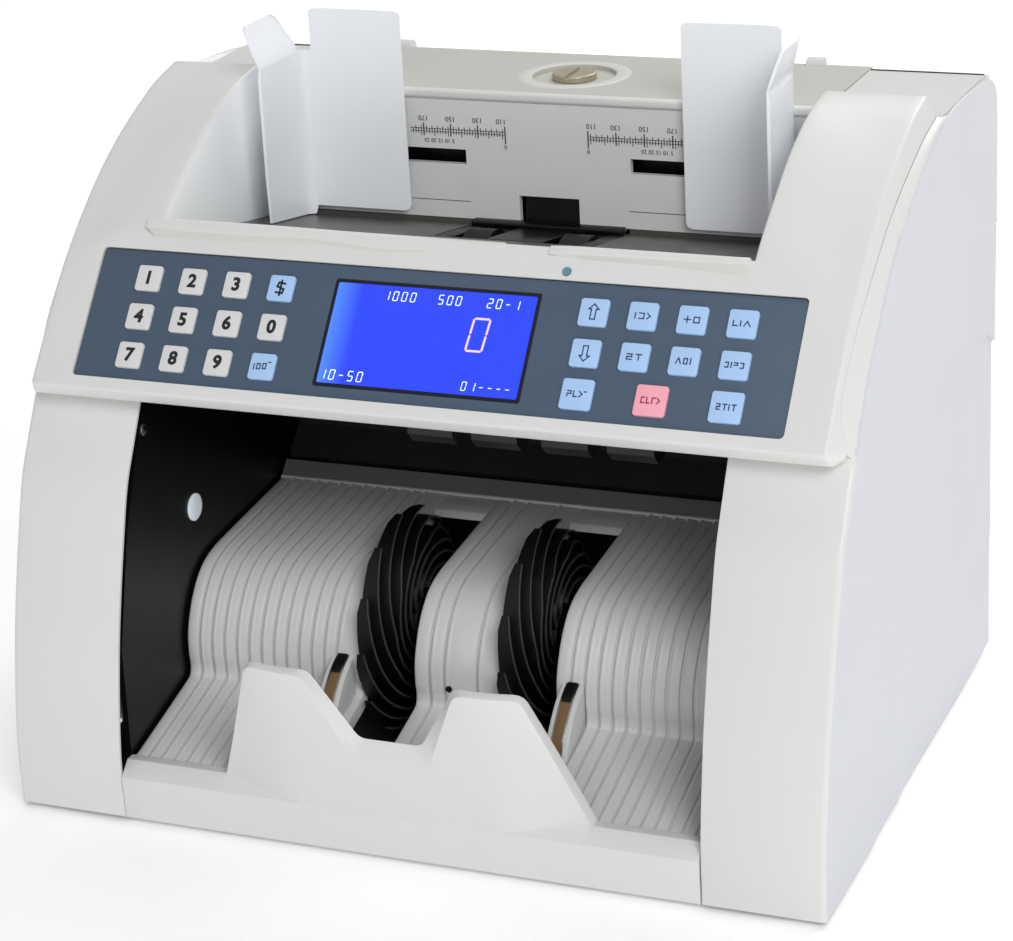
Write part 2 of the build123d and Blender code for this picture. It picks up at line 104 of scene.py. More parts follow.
def fillet(points, radii, steps=6):
    """Open polyline with rounded corners."""
    out = [Vector(points[0])]
    for i in range(1, len(points) - 1):
        a, b, c = (Vector(points[k]) for k in (i - 1, i, i + 1))
        u, w = (a - b).normalized(), (c - b).normalized()
        half = max(min(u.angle(w) / 2, pi / 2 - 1e-3), 1e-3)
        cut = min(radii[i - 1] / tan(half), (a - b).length * 0.49, (c - b).length * 0.49)
        p, q = b + u * cut, b + w * cut
        for k in range(steps + 1):
            t = k / steps
            out.append((p * (1 - t) + b * t) * (1 - t) + (b * (1 - t) + q * t) * t)
    out.append(Vector(points[-1]))
    return out


# ---- materials ----------------------------------------------------------------------
def srgb(r, g, b):
    """Eight-bit screen colour to scene-linear."""
    def line(c):
        c /= 255
        return c / 12.92 if c < 0.04045 else ((c + 0.055) / 1.055) ** 2.4
    return (line(r), line(g), line(b), 1.0)


def material(name, colour, rough=0.4, mottle=0.03, grain=0.12, grain_size=0.0004, rough_swing=0.06,
             metal=0.0, coat=0.0, spec=0.5, glow=0.0, stretch=(1, 1, 1), patch=0.05, tint=None):
    """Principled finish with patchy colour, uneven gloss and a fine surface grain."""
    m = bpy.data.materials.new(name)
    m.use_nodes = True
    nodes, links = m.node_tree.nodes, m.node_tree.links
    shader = nodes["Principled BSDF"]
    shader.inputs["Metallic"].default_value = metal
    shader.inputs["Specular IOR Level"].default_value = spec
    shader.inputs["Coat Weight"].default_value = coat
    shader.inputs["Coat Roughness"].default_value = 0.15
    coords = nodes.new("ShaderNodeTexCoord")
    place = nodes.new("ShaderNodeMapping")
    place.inputs["Scale"].default_value = stretch
    links.new(coords.outputs["Object"], place.inputs["Vector"])

    def noise(scale, detail):
        tex = nodes.new("ShaderNodeTexNoise")
        tex.inputs["Scale"].default_value = scale
        tex.inputs["Detail"].default_value = detail
        links.new(place.outputs["Vector"], tex.inputs["Vector"])
        return tex.outputs["Fac"]

    patches = noise(1 / patch, 4)
    mix = nodes.new("ShaderNodeMix")
    mix.data_type = "RGBA"
    low = tint if tint else tuple(c * (1 - mottle) for c in colour[:3]) + (1.0,)
    mix.inputs[6].default_value = low
    mix.inputs[7].default_value = tuple(min(c * (1 + mottle), 1.0) for c in colour[:3]) + (1.0,)
    links.new(patches, mix.inputs[0])
    links.new(mix.outputs[2], shader.inputs["Base Color"])
    if glow:
        links.new(mix.outputs[2], shader.inputs["Emission Color"])
        shader.inputs["Emission Strength"].default_value = glow
    gloss = nodes.new("ShaderNodeMapRange")
    gloss.inputs["To Min"].default_value = max(rough - rough_swing, 0.02)
    gloss.inputs["To Max"].default_value = rough + rough_swing
    links.new(noise(1 / (patch * 0.35), 3), gloss.inputs["Value"])
    links.new(gloss.outputs["Result"], shader.inputs["Roughness"])
    bump = nodes.new("ShaderNodeBump")
    bump.inputs["Strength"].default_value = grain
    bump.inputs["Distance"].default_value = 0.0001
    links.new(noise(1 / grain_size, 2), bump.inputs["Height"])
    links.new(bump.outputs["Normal"], shader.inputs["Normal"])
    return m


SHELL = material("shell_grey", srgb(216, 216, 214), rough=0.36, mottle=0.015, grain=0.10, patch=0.08)
# painted shade: a darker, bluer copy of the shell grey for the broad side faces
SIDE_SHADE = material("side_grey_painted_shade", srgb(199, 201, 207), rough=0.38, mottle=0.015, grain=0.10, patch=0.08)
# a darker, rougher copy of the shell grey: painted shade on the brow's front faces, a matt finish on the dish
# ring
SHELL_MATT_SHADE = material("shell_matt_painted_shade", srgb(206, 205, 200), rough=0.5, mottle=0.02, grain=0.12, patch=0.08)
INNER = material("inner_grey", srgb(216, 217, 216), rough=0.34, mottle=0.02, grain=0.08)
# painted light: a brighter, bluer copy of the shell grey for the hopper's side walls
WALL_LIT = material("hopper_wall_painted_light", srgb(250, 252, 255), rough=0.34, mottle=0.015, grain=0.08)
# painted shade: the top cover is darkened below the shell grey
COVER_SHADE = material("cover_grey_painted_shade", srgb(190, 189, 182), rough=0.45, mottle=0.02, grain=0.1, patch=0.08)
# painted light: the note guides are brightened above the shell grey
GUIDE_LIT = material("guide_white_painted_light", srgb(242, 244, 248), rough=0.3, mottle=0.015, grain=0.05, patch=0.08)
PLATE = material("stacker_grey", srgb(212, 213, 213), rough=0.24, mottle=0.01, rough_swing=0.02, grain=0.05)
OVERLAY = material("overlay_slate", srgb(70, 88, 106), rough=0.42, mottle=0.05, grain=0.25, grain_size=0.0003)
LCD = material("lcd_blue", srgb(30, 56, 236), rough=0.18, mottle=0.1, grain=0.0, glow=0.5, coat=0.3,
               tint=srgb(76, 132, 255))
# the pane is paler towards its left edge
lcd = LCD.node_tree
split, span = lcd.nodes.new("ShaderNodeSeparateXYZ"), lcd.nodes.new("ShaderNodeMapRange")
span.inputs["From Min"].default_value, span.inputs["From Max"].default_value = -0.0375, -0.026
for source, target in ((lcd.nodes["Texture Coordinate"].outputs["Object"], split.inputs[0]),
                       (split.outputs[0], span.inputs["Value"]),
                       (span.outputs[0], lcd.nodes["Mix"].inputs[0])):
    lcd.links.new(source, target)
LCD_FRAME = material("lcd_frame", srgb(12, 14, 22), rough=0.3)
LCD_INK = material("lcd_ink", srgb(205, 222, 255), rough=0.3, mottle=0.05, glow=0.8)
LCD_WARM = material("lcd_warm", srgb(214, 180, 190), rough=0.3, mottle=0.08, glow=0.6)
KEY_GREY = material("key_grey", srgb(214, 214, 214), rough=0.5, mottle=0.03, grain=0.2)
KEY_BLUE = material("key_blue", srgb(168, 200, 240), rough=0.5, mottle=0.04, grain=0.2)
KEY_PINK = material("key_pink", srgb(244, 168, 184), rough=0.5, mottle=0.04, grain=0.2)
INK = material("legend_ink", srgb(22, 22, 26), rough=0.6, mottle=0.1)
INK_BLUE = material("legend_blue", srgb(46, 66, 104), rough=0.6, mottle=0.1)
INK_RED = material("legend_red", srgb(150, 44, 66), rough=0.6, mottle=0.1)
INK_SCALE = material("scale_ink", srgb(60, 60, 60), rough=0.6, mottle=0.2)
BLACK = material("black_plastic", srgb(7, 7, 8), spec=0.35, rough=0.34, mottle=0.15, grain=0.2, rough_swing=0.1)
DARK = material("dark_plastic", srgb(52, 52, 50), rough=0.4, mottle=0.1, grain=0.25)
CHUTE = material("chute_grey", srgb(46, 47, 48), rough=0.45, mottle=0.15, grain=0.2)
LEDGE = material("ledge_grey", srgb(120, 121, 122), rough=0.4, mottle=0.05)
TABLE = material("table_olive", srgb(78, 78, 74), rough=0.35, mottle=0.08)
# painted highlight: pale strips along the fan blades' edges
EDGE_HIGHLIGHT = material("painted_edge_highlight", srgb(66, 68, 72), rough=0.3, mottle=0.3, grain=0.2, patch=0.01)
RUBBER = material("rubber", srgb(8, 8, 9), spec=0.35, rough=0.45, mottle=0.2, grain=0.35, rough_swing=0.12)
STEEL = material("steel", srgb(176, 174, 168), rough=0.24, metal=1.0, mottle=0.06, grain=0.1,
                 stretch=(1, 30, 30))
BRASS = material("knob_metal", srgb(176, 168, 146), rough=0.36, metal=0.55, mottle=0.08, grain=0.15)
# painted light: the sensor lenses glow, though they are no lamps
LENS_GLOW = material("lens_white", srgb(214, 222, 228), rough=0.25, mottle=0.04, coat=0.3, glow=0.25)
LAMP = material("lamp_blue", srgb(96, 140, 158), rough=0.2, mottle=0.1, coat=0.5)
AMBER = material("amber_film", srgb(122, 92, 58), rough=0.22, mottle=0.2, coat=0.4, patch=0.006)
TRAY = material("tray_metal", srgb(122, 124, 127), rough=0.4, metal=0.7, mottle=0.06, patch=0.02)
MOTOR = material("motor_metal", srgb(72, 74, 77), rough=0.38, metal=0.6, mottle=0.08)
BOARD = material("board_green", srgb(24, 70, 40), rough=0.35, mottle=0.25, patch=0.004, coat=0.2)
FLOOR = material("floor_white", srgb(252, 252, 252), rough=0.6, mottle=0.004, grain=0.0, patch=0.5, glow=0.2)


# ---- mesh helpers -------------------------------------------------------------------
def net(rows, skip=None):
    """Vertices and quads of rows of points; a missing point or a skipped cell leaves a hole."""
    verts, index, faces = [], {}, []
    for i, row in enumerate(rows):
        for j, p in enumerate(row):
            if p is not None:
                index[i, j] = len(verts)
                verts.append(p)
    for i in range(len(rows) - 1):
        for j in range(len(rows[i]) - 1):
            cell = ((i, j), (i, j + 1), (i + 1, j + 1), (i + 1, j))
            if all(c in index for c in cell) and not (skip and skip(i, j)):
                faces.append([index[c] for c in cell])
    return verts, faces


def joined(*parts):
    """Several vertex and face lists as one."""
    verts, faces = [], []
    for v, f in parts:
        start = len(verts)
        verts += v
        faces += [[k + start for k in face] for face in f]
    return verts, faces


def flip_x(part):
    """Mirror image left to right."""
    verts, faces = part
    return [Vector((-p.x, p.y, p.z)) for p in verts], [list(reversed(f)) for f in faces]


def between(first, second):
    """Closed solid between two loops with the same number of points."""
    n = len(first)
    faces = [[k, (k + 1) % n, n + (k + 1) % n, n + k] for k in range(n)]
    return first + second, faces + [list(range(n))[::-1], list(range(n, 2 * n))]


def prism(points, x0, x1):
    """Closed polygon in depth and height, drawn out across the machine."""
    return between([V(x0, *p) for p in points], [V(x1, *p) for p in points])


def slab(x0, x1, y0, y1, z0, z1):
    """Block between two corners."""
    return prism([(y0, z0), (y1, z0), (y1, z1), (y0, z1)], x0, x1)


def panel_plate(outline, w0, w1):
    """Flat plate on the key panel from an outline across and up the slope."""
    return between([P(u, v, w0) for u, v in outline], [P(u, v, w1) for u, v in outline])


def round_rect(u0, u1, v0, v1, r, steps=6):
    """Outline of a rectangle with rounded corners."""
    out = []
    for cu, cv, a in ((u1 - r, v1 - r, 0), (u0 + r, v1 - r, 90), (u0 + r, v0 + r, 180), (u1 - r, v0 + r, 270)):
        for k in range(steps + 1):
            t = radians(a + 90 * k / steps)
            out.append((cu + r * cos(t), cv + r * sin(t)))
    return out


def disc(u, v, r, steps=32):
    """Outline of a circle."""
    return [(u + r * cos(2 * pi * k / steps), v + r * sin(2 * pi * k / steps)) for k in range(steps)]


def strip(rows):
    """Closed bar from rows of five points, the fifth repeating the first, with both ends filled."""
    verts, faces = net(rows)
    return verts, faces + [[0, 1, 2, 3], [len(verts) - 5 + j for j in (3, 2, 1, 0)]]


def normal_at(line, i):
    """Unit normal of a line in depth and height at one of its points, on the upper side."""
    a, b = line[max(i - 1, 0)], line[min(i + 1, len(line) - 1)]
    ty, tz = b[0] - a[0], b[1] - a[1]
    size = hypot(ty, tz)
    return -tz / size, ty / size


def turned(centre, axis, profile, steps=40):
    """Solid of revolution: profile of (along, radius) pairs in millimetres about an axis."""
    side = Vector((0, 0, 1)) if abs(axis.z) < 0.9 else Vector((1, 0, 0))
    a = axis.cross(side).normalized()
    b = axis.cross(a)
    verts, faces = [], []
    for s, r in profile:
        for k in range(steps):
            t = 2 * pi * k / steps
            verts.append(centre + axis * s * MM + (a * cos(t) + b * sin(t)) * r * MM)
    for i in range(len(profile) - 1):
        for k in range(steps):
            n = (k + 1) % steps
            faces.append([i * steps + k, i * steps + n, (i + 1) * steps + n, (i + 1) * steps + k])
    faces.append(list(range(steps))[::-1])
    faces.append([(len(profile) - 1) * steps + k for k in range(steps)])
    return verts, faces


def new_object(name, data):
    """Object linked to the scene."""
    ob = bpy.data.objects.new(name, data)
    bpy.context.scene.collection.objects.link(ob)
    return ob


def piece(name, part, mat, body="frame", old=(), bevel=0.0, seg=3, angle=30, thick=0.0, out=None,
          sharp=40, cutters=()):
    """Object from mesh lists: weld, bevel, thicken, cut, then ride and replace."""
    mesh = bpy.data.meshes.new(name)
    mesh.from_pydata([tuple(p) for p in part[0]], [], part[1])
    bm = bmesh.new()
    bm.from_mesh(mesh)
    bmesh.ops.remove_doubles(bm, verts=bm.verts, dist=1e-6)
    bmesh.ops.dissolve_degenerate(bm, edges=bm.edges, dist=1e-7)
    bmesh.ops.recalc_face_normals(bm, faces=bm.faces)
    if out is not None:
        total = sum((f.normal * f.calc_area() for f in bm.faces), Vector())
        if total.dot(Vector(out)) < 0:
            bmesh.ops.reverse_faces(bm, faces=bm.faces)
    bm.to_mesh(mesh)
    bm.free()
    ob = new_object(name, mesh)
    mats = mat if isinstance(mat, (list, tuple)) else [mat]
    for m in mats:
        mesh.materials.append(m)

    if bevel:
        mod = ob.modifiers.new("round", "BEVEL")
        mod.width, mod.segments, mod.limit_method = bevel * MM, seg, "ANGLE"
        mod.angle_limit = radians(angle)
        mod.use_clamp_overlap = True
        mod.miter_outer = "MITER_ARC"
    if thick:
        mod = ob.modifiers.new("wall", "SOLIDIFY")
        mod.thickness, mod.offset, mod.use_even_offset = thick * MM, -1, True
        mod.thickness_clamp = 2.0
    for cutter in cutters:
        mod = ob.modifiers.new("cut", "BOOLEAN")
        mod.operation, mod.solver, mod.object = "DIFFERENCE", "EXACT", cutter
    if ob.modifiers:
        bpy.context.view_layer.update()
        deps = bpy.context.evaluated_depsgraph_get()
        made = bpy.data.meshes.new_from_object(ob.evaluated_get(deps))
        ob.modifiers.clear()
        ob.data = made
        made.name = name
    for cutter in cutters:
        bpy.data.objects.remove(cutter)
    ob.data.polygons.foreach_set("use_smooth", [True] * len(ob.data.polygons))
    ob.data.set_sharp_from_angle(angle=radians(sharp))
    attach(ob, body)
    if old:
        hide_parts(*old)
    return ob


def cutter(part):
    """Temporary closed solid that a piece is cut with."""
    mesh = bpy.data.meshes.new("cutter")
    mesh.from_pydata([tuple(p) for p in part[0]], [], part[1])
    bm = bmesh.new()
    bm.from_mesh(mesh)
    bmesh.ops.recalc_face_normals(bm, faces=bm.faces)
    bm.to_mesh(mesh)
    bm.free()
    return new_object("cutter", mesh)


def lettering(name, text, size, origin, across, up, mat, body="frame", heavy=0.0, deep=0.05):
    """Printed characters as a thin mesh lying on a surface."""
    curve = bpy.data.curves.new(name, "FONT")
    curve.body, curve.size = text, size * MM
    curve.align_x, curve.align_y = "CENTER", "CENTER"
    curve.offset, curve.extrude = heavy * MM, deep * MM
    curve.resolution_u = 4
    temp = new_object(name + "_tmp", curve)
    bpy.context.view_layer.update()
    deps = bpy.context.evaluated_depsgraph_get()
    mesh = bpy.data.meshes.new_from_object(temp.evaluated_get(deps))
    bpy.data.objects.remove(temp)
    normal = across.cross(up)
    mesh.transform(Matrix.Translation(origin) @ Matrix((across, up, normal)).transposed().to_4x4())
    mesh.name = name
    mesh.materials.clear()
    mesh.materials.append(mat)
    ob = new_object(name, mesh)
    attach(ob, body)


ACROSS = Vector((1, 0, 0))
UP_SLOPE = Vector((0, CT, ST))

# ---- camera, light and floor --------------------------------------------------------
YAW, PITCH, ROLL = radians(-23.234), radians(20.958), radians(-3.064)
FOCAL_PX, FRAME_PX, SENSOR = 2992.935, 1013, 36.0
CAMERA_AT = (383.6, -789.1, 472.8)
ahead = Vector((sin(YAW) * cos(PITCH), cos(YAW) * cos(PITCH), -sin(PITCH)))
level = Vector((cos(YAW), -sin(YAW), 0))
upward = level.cross(ahead)
cam_x = cos(ROLL) * level + sin(ROLL) * upward
cam_y = -sin(ROLL) * level + cos(ROLL) * upward
cam = bpy.data.cameras.new("camera")
cam.sensor_width, cam.lens = SENSOR, FOCAL_PX / FRAME_PX * SENSOR
cam_ob = new_object("camera", cam)
turn = Matrix((cam_x, cam_y, -ahead)).transposed().to_4x4()
cam_ob.matrix_world = Matrix.Translation(V(*CAMERA_AT)) @ turn
bpy.context.scene.camera = cam_ob


def soft_light(name, where, target, size, power, colour=(1, 1, 1)):
    """Large square lamp aimed at a point."""
    data = bpy.data.lights.new(name, "AREA")
    data.shape, data.size, data.energy, data.color = "SQUARE", size, power, colour
    ob = new_object(name, data)
    where, target = Vector(where), Vector(target)
    ob.location = where
    ob.rotation_euler = (target - where).to_track_quat("-Z", "Y").to_euler()


soft_light("key_light", (0.98, -1.08, 1.15), (0, 0, 0.12), 0.7, 12.3)
soft_light("front_fill", (0.6, -1.85, 1.05), (0, 0, 0.12), 1.2, 5.5, (0.96, 0.98, 1.0))
soft_light("top_light", (-0.2, 0.6, 1.9), (0, 0, 0.1), 1.2, 4)
soft_light("floor_wash", (0.6, 3.2, 2.6), (0.3, 2.6, 0), 2.6, 85)
world = bpy.data.worlds.new("studio")
world.use_nodes = True
world.node_tree.nodes["Background"].inputs[0].default_value = (1, 1, 1, 1)
world.node_tree.nodes["Background"].inputs[1].default_value = 0.41
bpy.context.scene.world = world
bpy.context.scene.view_settings.view_transform = "Standard"

floor_mesh = bpy.data.meshes.new("floor")
floor_mesh.from_pydata([(-30, -30, 0), (30, -30, 0), (30, 30, 0), (-30, 30, 0)], [], [(0, 1, 2, 3)])
floor_mesh.materials.append(FLOOR)
floor = new_object("floor", floor_mesh)

# ---- front housing: panel, hopper arms, cheeks --------------------------------------
ARM_IN, EDGE_X = 104.4, 138.9
# inner edge, outer edge, where the fall to the outer edge begins, side cover edge
STATIONS = [
    ((26.4, 147.5), (26.4, 147.5), 130, (40.5, 143.4)),
    ((33.5, 156.0), (33.3, 155.8), 130, (43.4, 150.4)),
    ((42.8, 167.1), (42.4, 166.7), 130, (49.6, 161.4)),
    ((51.9, 178.0), (51.7, 177.6), 128, (57.8, 170.4)),
    ((59.3, 186.8), (59.0, 184.9), 126, (66.3, 178.2)),
    ((61.0, 188.9), (61.6, 187.2), 124, (69.4, 181.6)),
    ((66.3, 195.2), (67.2, 192.1), 112, (75.0, 187.0)),
    ((76.0, 202.6), (75.6, 198.8), 106, (82.4, 192.6)),
    ((88.0, 210.2), (85.2, 205.7), 104.5, (90.8, 198.8)),
    ((97.5, 216.0), (93.4, 210.7), 104.5, (98.0, 203.2)),
    ((106.3, 220.6), (101.6, 215.2), 104.5, (105.2, 207.1)),
    ((116.0, 224.6), (109.6, 219.0), 104.5, (112.8, 210.8)),
    ((125.7, 227.6), (118.4, 222.7), 104.5, (120.6, 214.4)),
    ((135.5, 229.6), (129.6, 226.9), 104.5, (131.0, 218.4)),
    ((145.4, 230.5), (145.4, 230.4), 104.5, (146.0, 222.3)),
]
LAST_PANEL = 6          # index of the row at the hopper's front edge
STEPS = 3
flat = [a + b + (c,) + d for a, b, c, d in STATIONS]
dense = resample(flat, STEPS)


def seam_at(row, s):
    """Where housing and side cover meet on the bevelled shoulder."""
    yh, zh, yo, zo = row[2], row[3], row[5], row[6]
    tuck = 1 - ramp(s / 0.12)
    f = 0.08 + 0.80 * s ** 0.9 + 0.6 * tuck
    return 139.4 + 2.7 * s ** 0.8 + 3.6 * tuck, yh + (yo - yh) * f, zh + (zo - zh) * f


COLUMNS = [0, 36, 70, 104.4, 107, 111, 116, 121, 125, 128.5, 132, 135.5, 138.9]
rows = []
for y, z, x_end in ((46.0, 142.7, 142.9), (38.0, 142.7, 142.9), (29.6, 142.9, 139.4)):
    rows.append([None] + [V(x, y, z) for x in COLUMNS] + [V(x_end, y + 0.2, z + (x_end - 139.4) * 0.15)])
for i, row in enumerate(dense):
    s = i / (len(dense) - 1)
    line = []
    for x in COLUMNS:
        t = ramp((x - row[4]) / (EDGE_X - row[4]))
        line.append(V(x, row[0] + (row[2] - row[0]) * t, row[1] + (row[3] - row[1]) * t))
    if i > LAST_PANEL * STEPS:
        line[:3] = [None] * 3
    xs, ys, zs = seam_at(row, s)
    wall = V(ARM_IN, row[0], 173.0) if i >= LAST_PANEL * STEPS else None
    rows.append([wall] + line + [V(xs - 0.02, ys, zs)])
for y, z, x_in in ((147.6, 221.7, ARM_IN), (158.2, 221.5, ARM_IN), (158.6, 221.5, 101.5),
                   (210.4, 221.5, 101.5)):
    line = [None] * 3 + [V(x_in, y, z)] + [V(x, y, z) for x in COLUMNS[4:]] + [V(142.3, y, z)]
    rows.append([V(ARM_IN, y, 173.0) if x_in == ARM_IN else None] + line)


# the wall column sits before the centre columns, so its cells are made apart
shell = net(rows, lambda i, j: j == 0)
wall_rows = [[r[0], r[4]] for r in rows if r[0] is not None]
half = joined(shell, net(wall_rows))
recess = cutter(panel_plate(round_rect(-124.55, 124.55, -46.55, 0.25, 1.7), -9, 6))
lamp_hole = cutter(panel_plate(disc(43.3, 3.1, 1.55), -9, 6))
housing = piece("housing_shell", joined(half, flip_x(half)), [SHELL, WALL_LIT], old=("front_housing",),
                bevel=1.1, seg=4, angle=24, thick=2.3, out=(0, -0.4, 1),
                cutters=(recess, lamp_hole))
# the hopper side walls get a brighter material that paints light on them
for face in housing.data.polygons:      # hopper side walls take the second material
    across, depth, height = face.center
    if abs(face.normal.x) > 0.9 and abs(across) < 0.1047 and depth > (60 - MID) * MM and height > 0.17:
        face.material_index = 1


def brow(name, stops):
    """Raised ridge over the panel: across at ridge and foot, front edge, foot, height."""
    rows = []
    for x_top, x_foot, v_top, v_foot, h in resample(stops, 6):
        rows.append([P(x_foot, v_foot, -1.4), P(x_foot, v_foot, 0.02), P(x_top, v_top, h),
                     P(x_top, v_top + 0.8, h + 0.12), P(x_top, 10.6, h), P(x_top, 11.6, h - 0.7),
                     P(x_top, 11.9, -0.4), P(x_top, 11.0, -1.6)])
    n = len(rows[0])
    verts, faces = net([r + [r[0]] for r in rows])
    last = (len(rows) - 1) * (n + 1)
    faces += [list(range(n))[::-1], [last + k for k in range(n)]]
    ob = piece(name, (verts, faces), [SHELL, SHELL_MATT_SHADE], bevel=0.2, seg=2, angle=20)
    # the front faces take the second material, a darker grey that paints the shade under the ridge
    for face in ob.data.polygons:
        if face.normal.y < -0.88 and abs(face.normal.x) < 0.5:
            face.material_index = 1


brow("brow_left", [(-109.7, -105.6, 7.6, 4.7, 2.0), (-92, -92, 6.9, 4.9, 2.0), (-73.5, -74, 7.0, 5.2, 2.0), (-60, -60, 7.2, 5.6, 1.9), (-48, -48, 7.6, 6.4, 1.5), (-35, -35, 7.0, 5.7, 1.1), (-24, -24, 6.2, 5.0, 0.7), (-12, -12, 6.8, 5.6, 0.35), (4, 4, 8.0, 7.2, 0.12), (20, 20, 9.2, 8.8, 0.03)])
brow("brow_right", [(36.0, 41.5, 8.4, 7.8, 0.9), (42.0, 44.5, 8.4, 7.7, 1.7), (54.6, 54.6, 8.4, 7.4, 2.0),
                    (76.5, 76.8, 8.5, 7.0, 2.1), (103.4, 104.3, 8.8, 5.6, 2.2)])
piece("hopper_front_wall", prism([(66.2, 193.9), (68.6, 193.9), (68.9, 176.0), (66.5, 176.0)], -104.2, 104.2),
      SHELL, bevel=0.5)

# ---- side covers --------------------------------------------------------------------
PILLAR_IN = 103.8
SIDE_X = 144.95         # widest point of the covers
ROUND = 2.0             # radius of the outer edge
FOOT_Z = 2.0            # lower edge of the covers, above the feet
pillar = resample([(0.3, 2.0), (0.5, 25), (5.3, 55), (10.6, 77), (17.4, 99.6), (22.7, 115), (29.0, 126.5),
                   (38.3, 142.4)], 4)
side_rows = []      # pillar inner edge, seam edge, outer edge
for y, z in pillar:
    side_rows.append([V(PILLAR_IN, y + 0.9, z - 0.2), V(139.5, y, z), (y, z)])
side_rows.append([None, V(143.0, 37.4, 143.6), (39.4, 142.9)])
for i, row in enumerate(dense):
    xs, ys, zs = seam_at(row, i / (len(dense) - 1))
    side_rows.append([None, V(xs + 0.02 + 0.12 * ramp(i / (len(dense) - 1) * 1.6), ys, zs), (row[5], row[6])])
for y, z in ((152, 222.9), (160, 223.9), (168, 224.2), (178, 224.0), (187.3, 223.4), (199, 222.3), (209, 220.9),
             (214.5, 219.2), (218.4, 216.0), (220.5, 211.0), (221.2, 204), (221.3, 186), (221.3, 169)):
    inset = min(z, 221.6)
    side_rows.append([None, V(142.33, min(y, 221.3), inset - (0.3 if y < 210 else 0)), (y, z)])

CREASE_1 = [(57.7, 2), (62.5, 52), (69.1, 83.5), (92.8, 125.1), (118, 151.9), (128.3, 156.6), (141.3, 161.7),
            (154.7, 164.8), (168.3, 166.8), (182.3, 167.8), (202.4, 167.2), (221.3, 166.0)]
CREASE_2 = [(93.4, 2), (95, 35.6), (97.7, 56.4), (104.3, 82.7), (114.5, 104.5), (127, 116), (143.5, 124.2),
            (153, 127.6), (164, 129.6), (178, 130.8), (192.3, 130.1), (204.1, 128.5), (214.7, 125.6),
            (221.3, 121.2)]
count = len(side_rows)
crease_1 = even(resample(CREASE_1, 8), count)
crease_2 = even(resample(CREASE_2, 8), count)
outline = [Vector(r[2]) for r in side_rows]
for i, row in enumerate(side_rows):
    t = i / (count - 1)
    step_1 = 0.7 + 0.3 * ramp((t - 0.15) / 0.4) * (1 - ramp((t - 0.82) / 0.16)) - 0.15 * ramp((t - 0.8) / 0.2)
    step_2 = 0.8 + 0.3 * ramp((t - 0.2) / 0.4) + 0.3 * ramp((t - 0.9) / 0.1)
    y, z = row[2]
    a, b = crease_1[i], crease_2[i]
    corner = (150 + 143 * t, 2.0) if t <= 0.5 else (221.3, 2 + 116 * (t - 0.5))
    run = (outline[min(i + 1, count - 1)] - outline[max(i - 1, 0)]).normalized()
    edge = V(SIDE_X, y, z)
    level_end = edge + (row[1] - edge).normalized() * ROUND * MM
    side_end = V(SIDE_X, y + run.y * ROUND, z - run.x * ROUND)
    bend = [level_end.lerp(edge, k / 5).lerp(edge.lerp(side_end, k / 5), k / 5) for k in range(6)]
    row[2:] = bend + [V(SIDE_X, a.x - 0.5, a.y + 0.5), V(SIDE_X - step_1, a.x + 0.6, a.y - 0.6),
                      V(SIDE_X - step_1, b.x - 0.5, b.y + 0.5),
                      V(SIDE_X - step_1 - step_2, b.x + 0.6, b.y - 0.6), V(SIDE_X - step_1 - step_2, *corner)]
    for p in row[2:]:
        p.y = min(p.y, (221.4 - MID) * MM)
        p.z = max(p.z, FOOT_Z * MM)
rear = [None, None]
for p in side_rows[-1][2:]:
    rear.append(Vector(((139.6 if p.z < 0.1214 else 142.33) * MM, p.y, p.z)))
side_rows.append(rear)
lip_in = [[V(PILLAR_IN + 0.9, y, z), V(PILLAR_IN + 0.25, y + 0.25, z)] for y, z in pillar]
side_rows = [[None, None] + r for r in side_rows]
for r, (far, near) in zip(side_rows, lip_in):
    r[:3] = [r[2], near, far]
side = net(side_rows)


def crisp(ob, limit):
    """Keep the shallow creases of the broad side faces sharp, and give those faces the second material, a
    darker bluish grey that paints shade on them.
    """
    bm = bmesh.new()
    bm.from_mesh(ob.data)
    for e in bm.edges:
        broad = len(e.link_faces) == 2 and all(abs(f.normal.x) > 0.75 for f in e.link_faces)
        if broad and e.calc_face_angle() > radians(limit) and all(p.co.z < 0.19 for p in e.verts):
            e.smooth = False
    for f in bm.faces:
        if abs(f.normal.x) > 0.93:
            f.material_index = 1
    bm.to_mesh(ob.data)
    bm.free()


for side_name, sign, part in (("right", 1, side), ("left", -1, flip_x(side))):
    crisp(piece("side_shell_" + side_name, part, [SHELL, SIDE_SHADE], old=("side_cover_" + side_name,),
                thick=2.4, out=(sign, -0.3, 0.1), sharp=28), 3)

# ---- front bar and W-shaped stop ----------------------------------------------------
LEAN = tan(radians(10.7))
front_pts = fillet([(-67, 17.5), (-48.3, 69.6), (-26.5, 69.6), (-14.5, 41.0), (14.5, 41.0), (26.5, 69.6),
                    (48.3, 69.6), (67, 17.5)], [5, 5, 5, 5, 5, 5])
front_top = even(front_pts, 150)
back_pts = fillet([(-67.4, 21.0), (-48.6, 70.6), (-25.6, 70.6), (-11.0, 46.2), (11.0, 46.2), (25.6, 70.6),
                   (48.6, 70.6), (67.4, 21.0)], [5, 4.5, 4, 4, 4.5, 5])
back_top = even(back_pts, 150)


def bar_top(y):
    """Height of the bar's sloping top at a depth."""
    return 17.4 + (y + 0.4) * 4.6 / 5.1


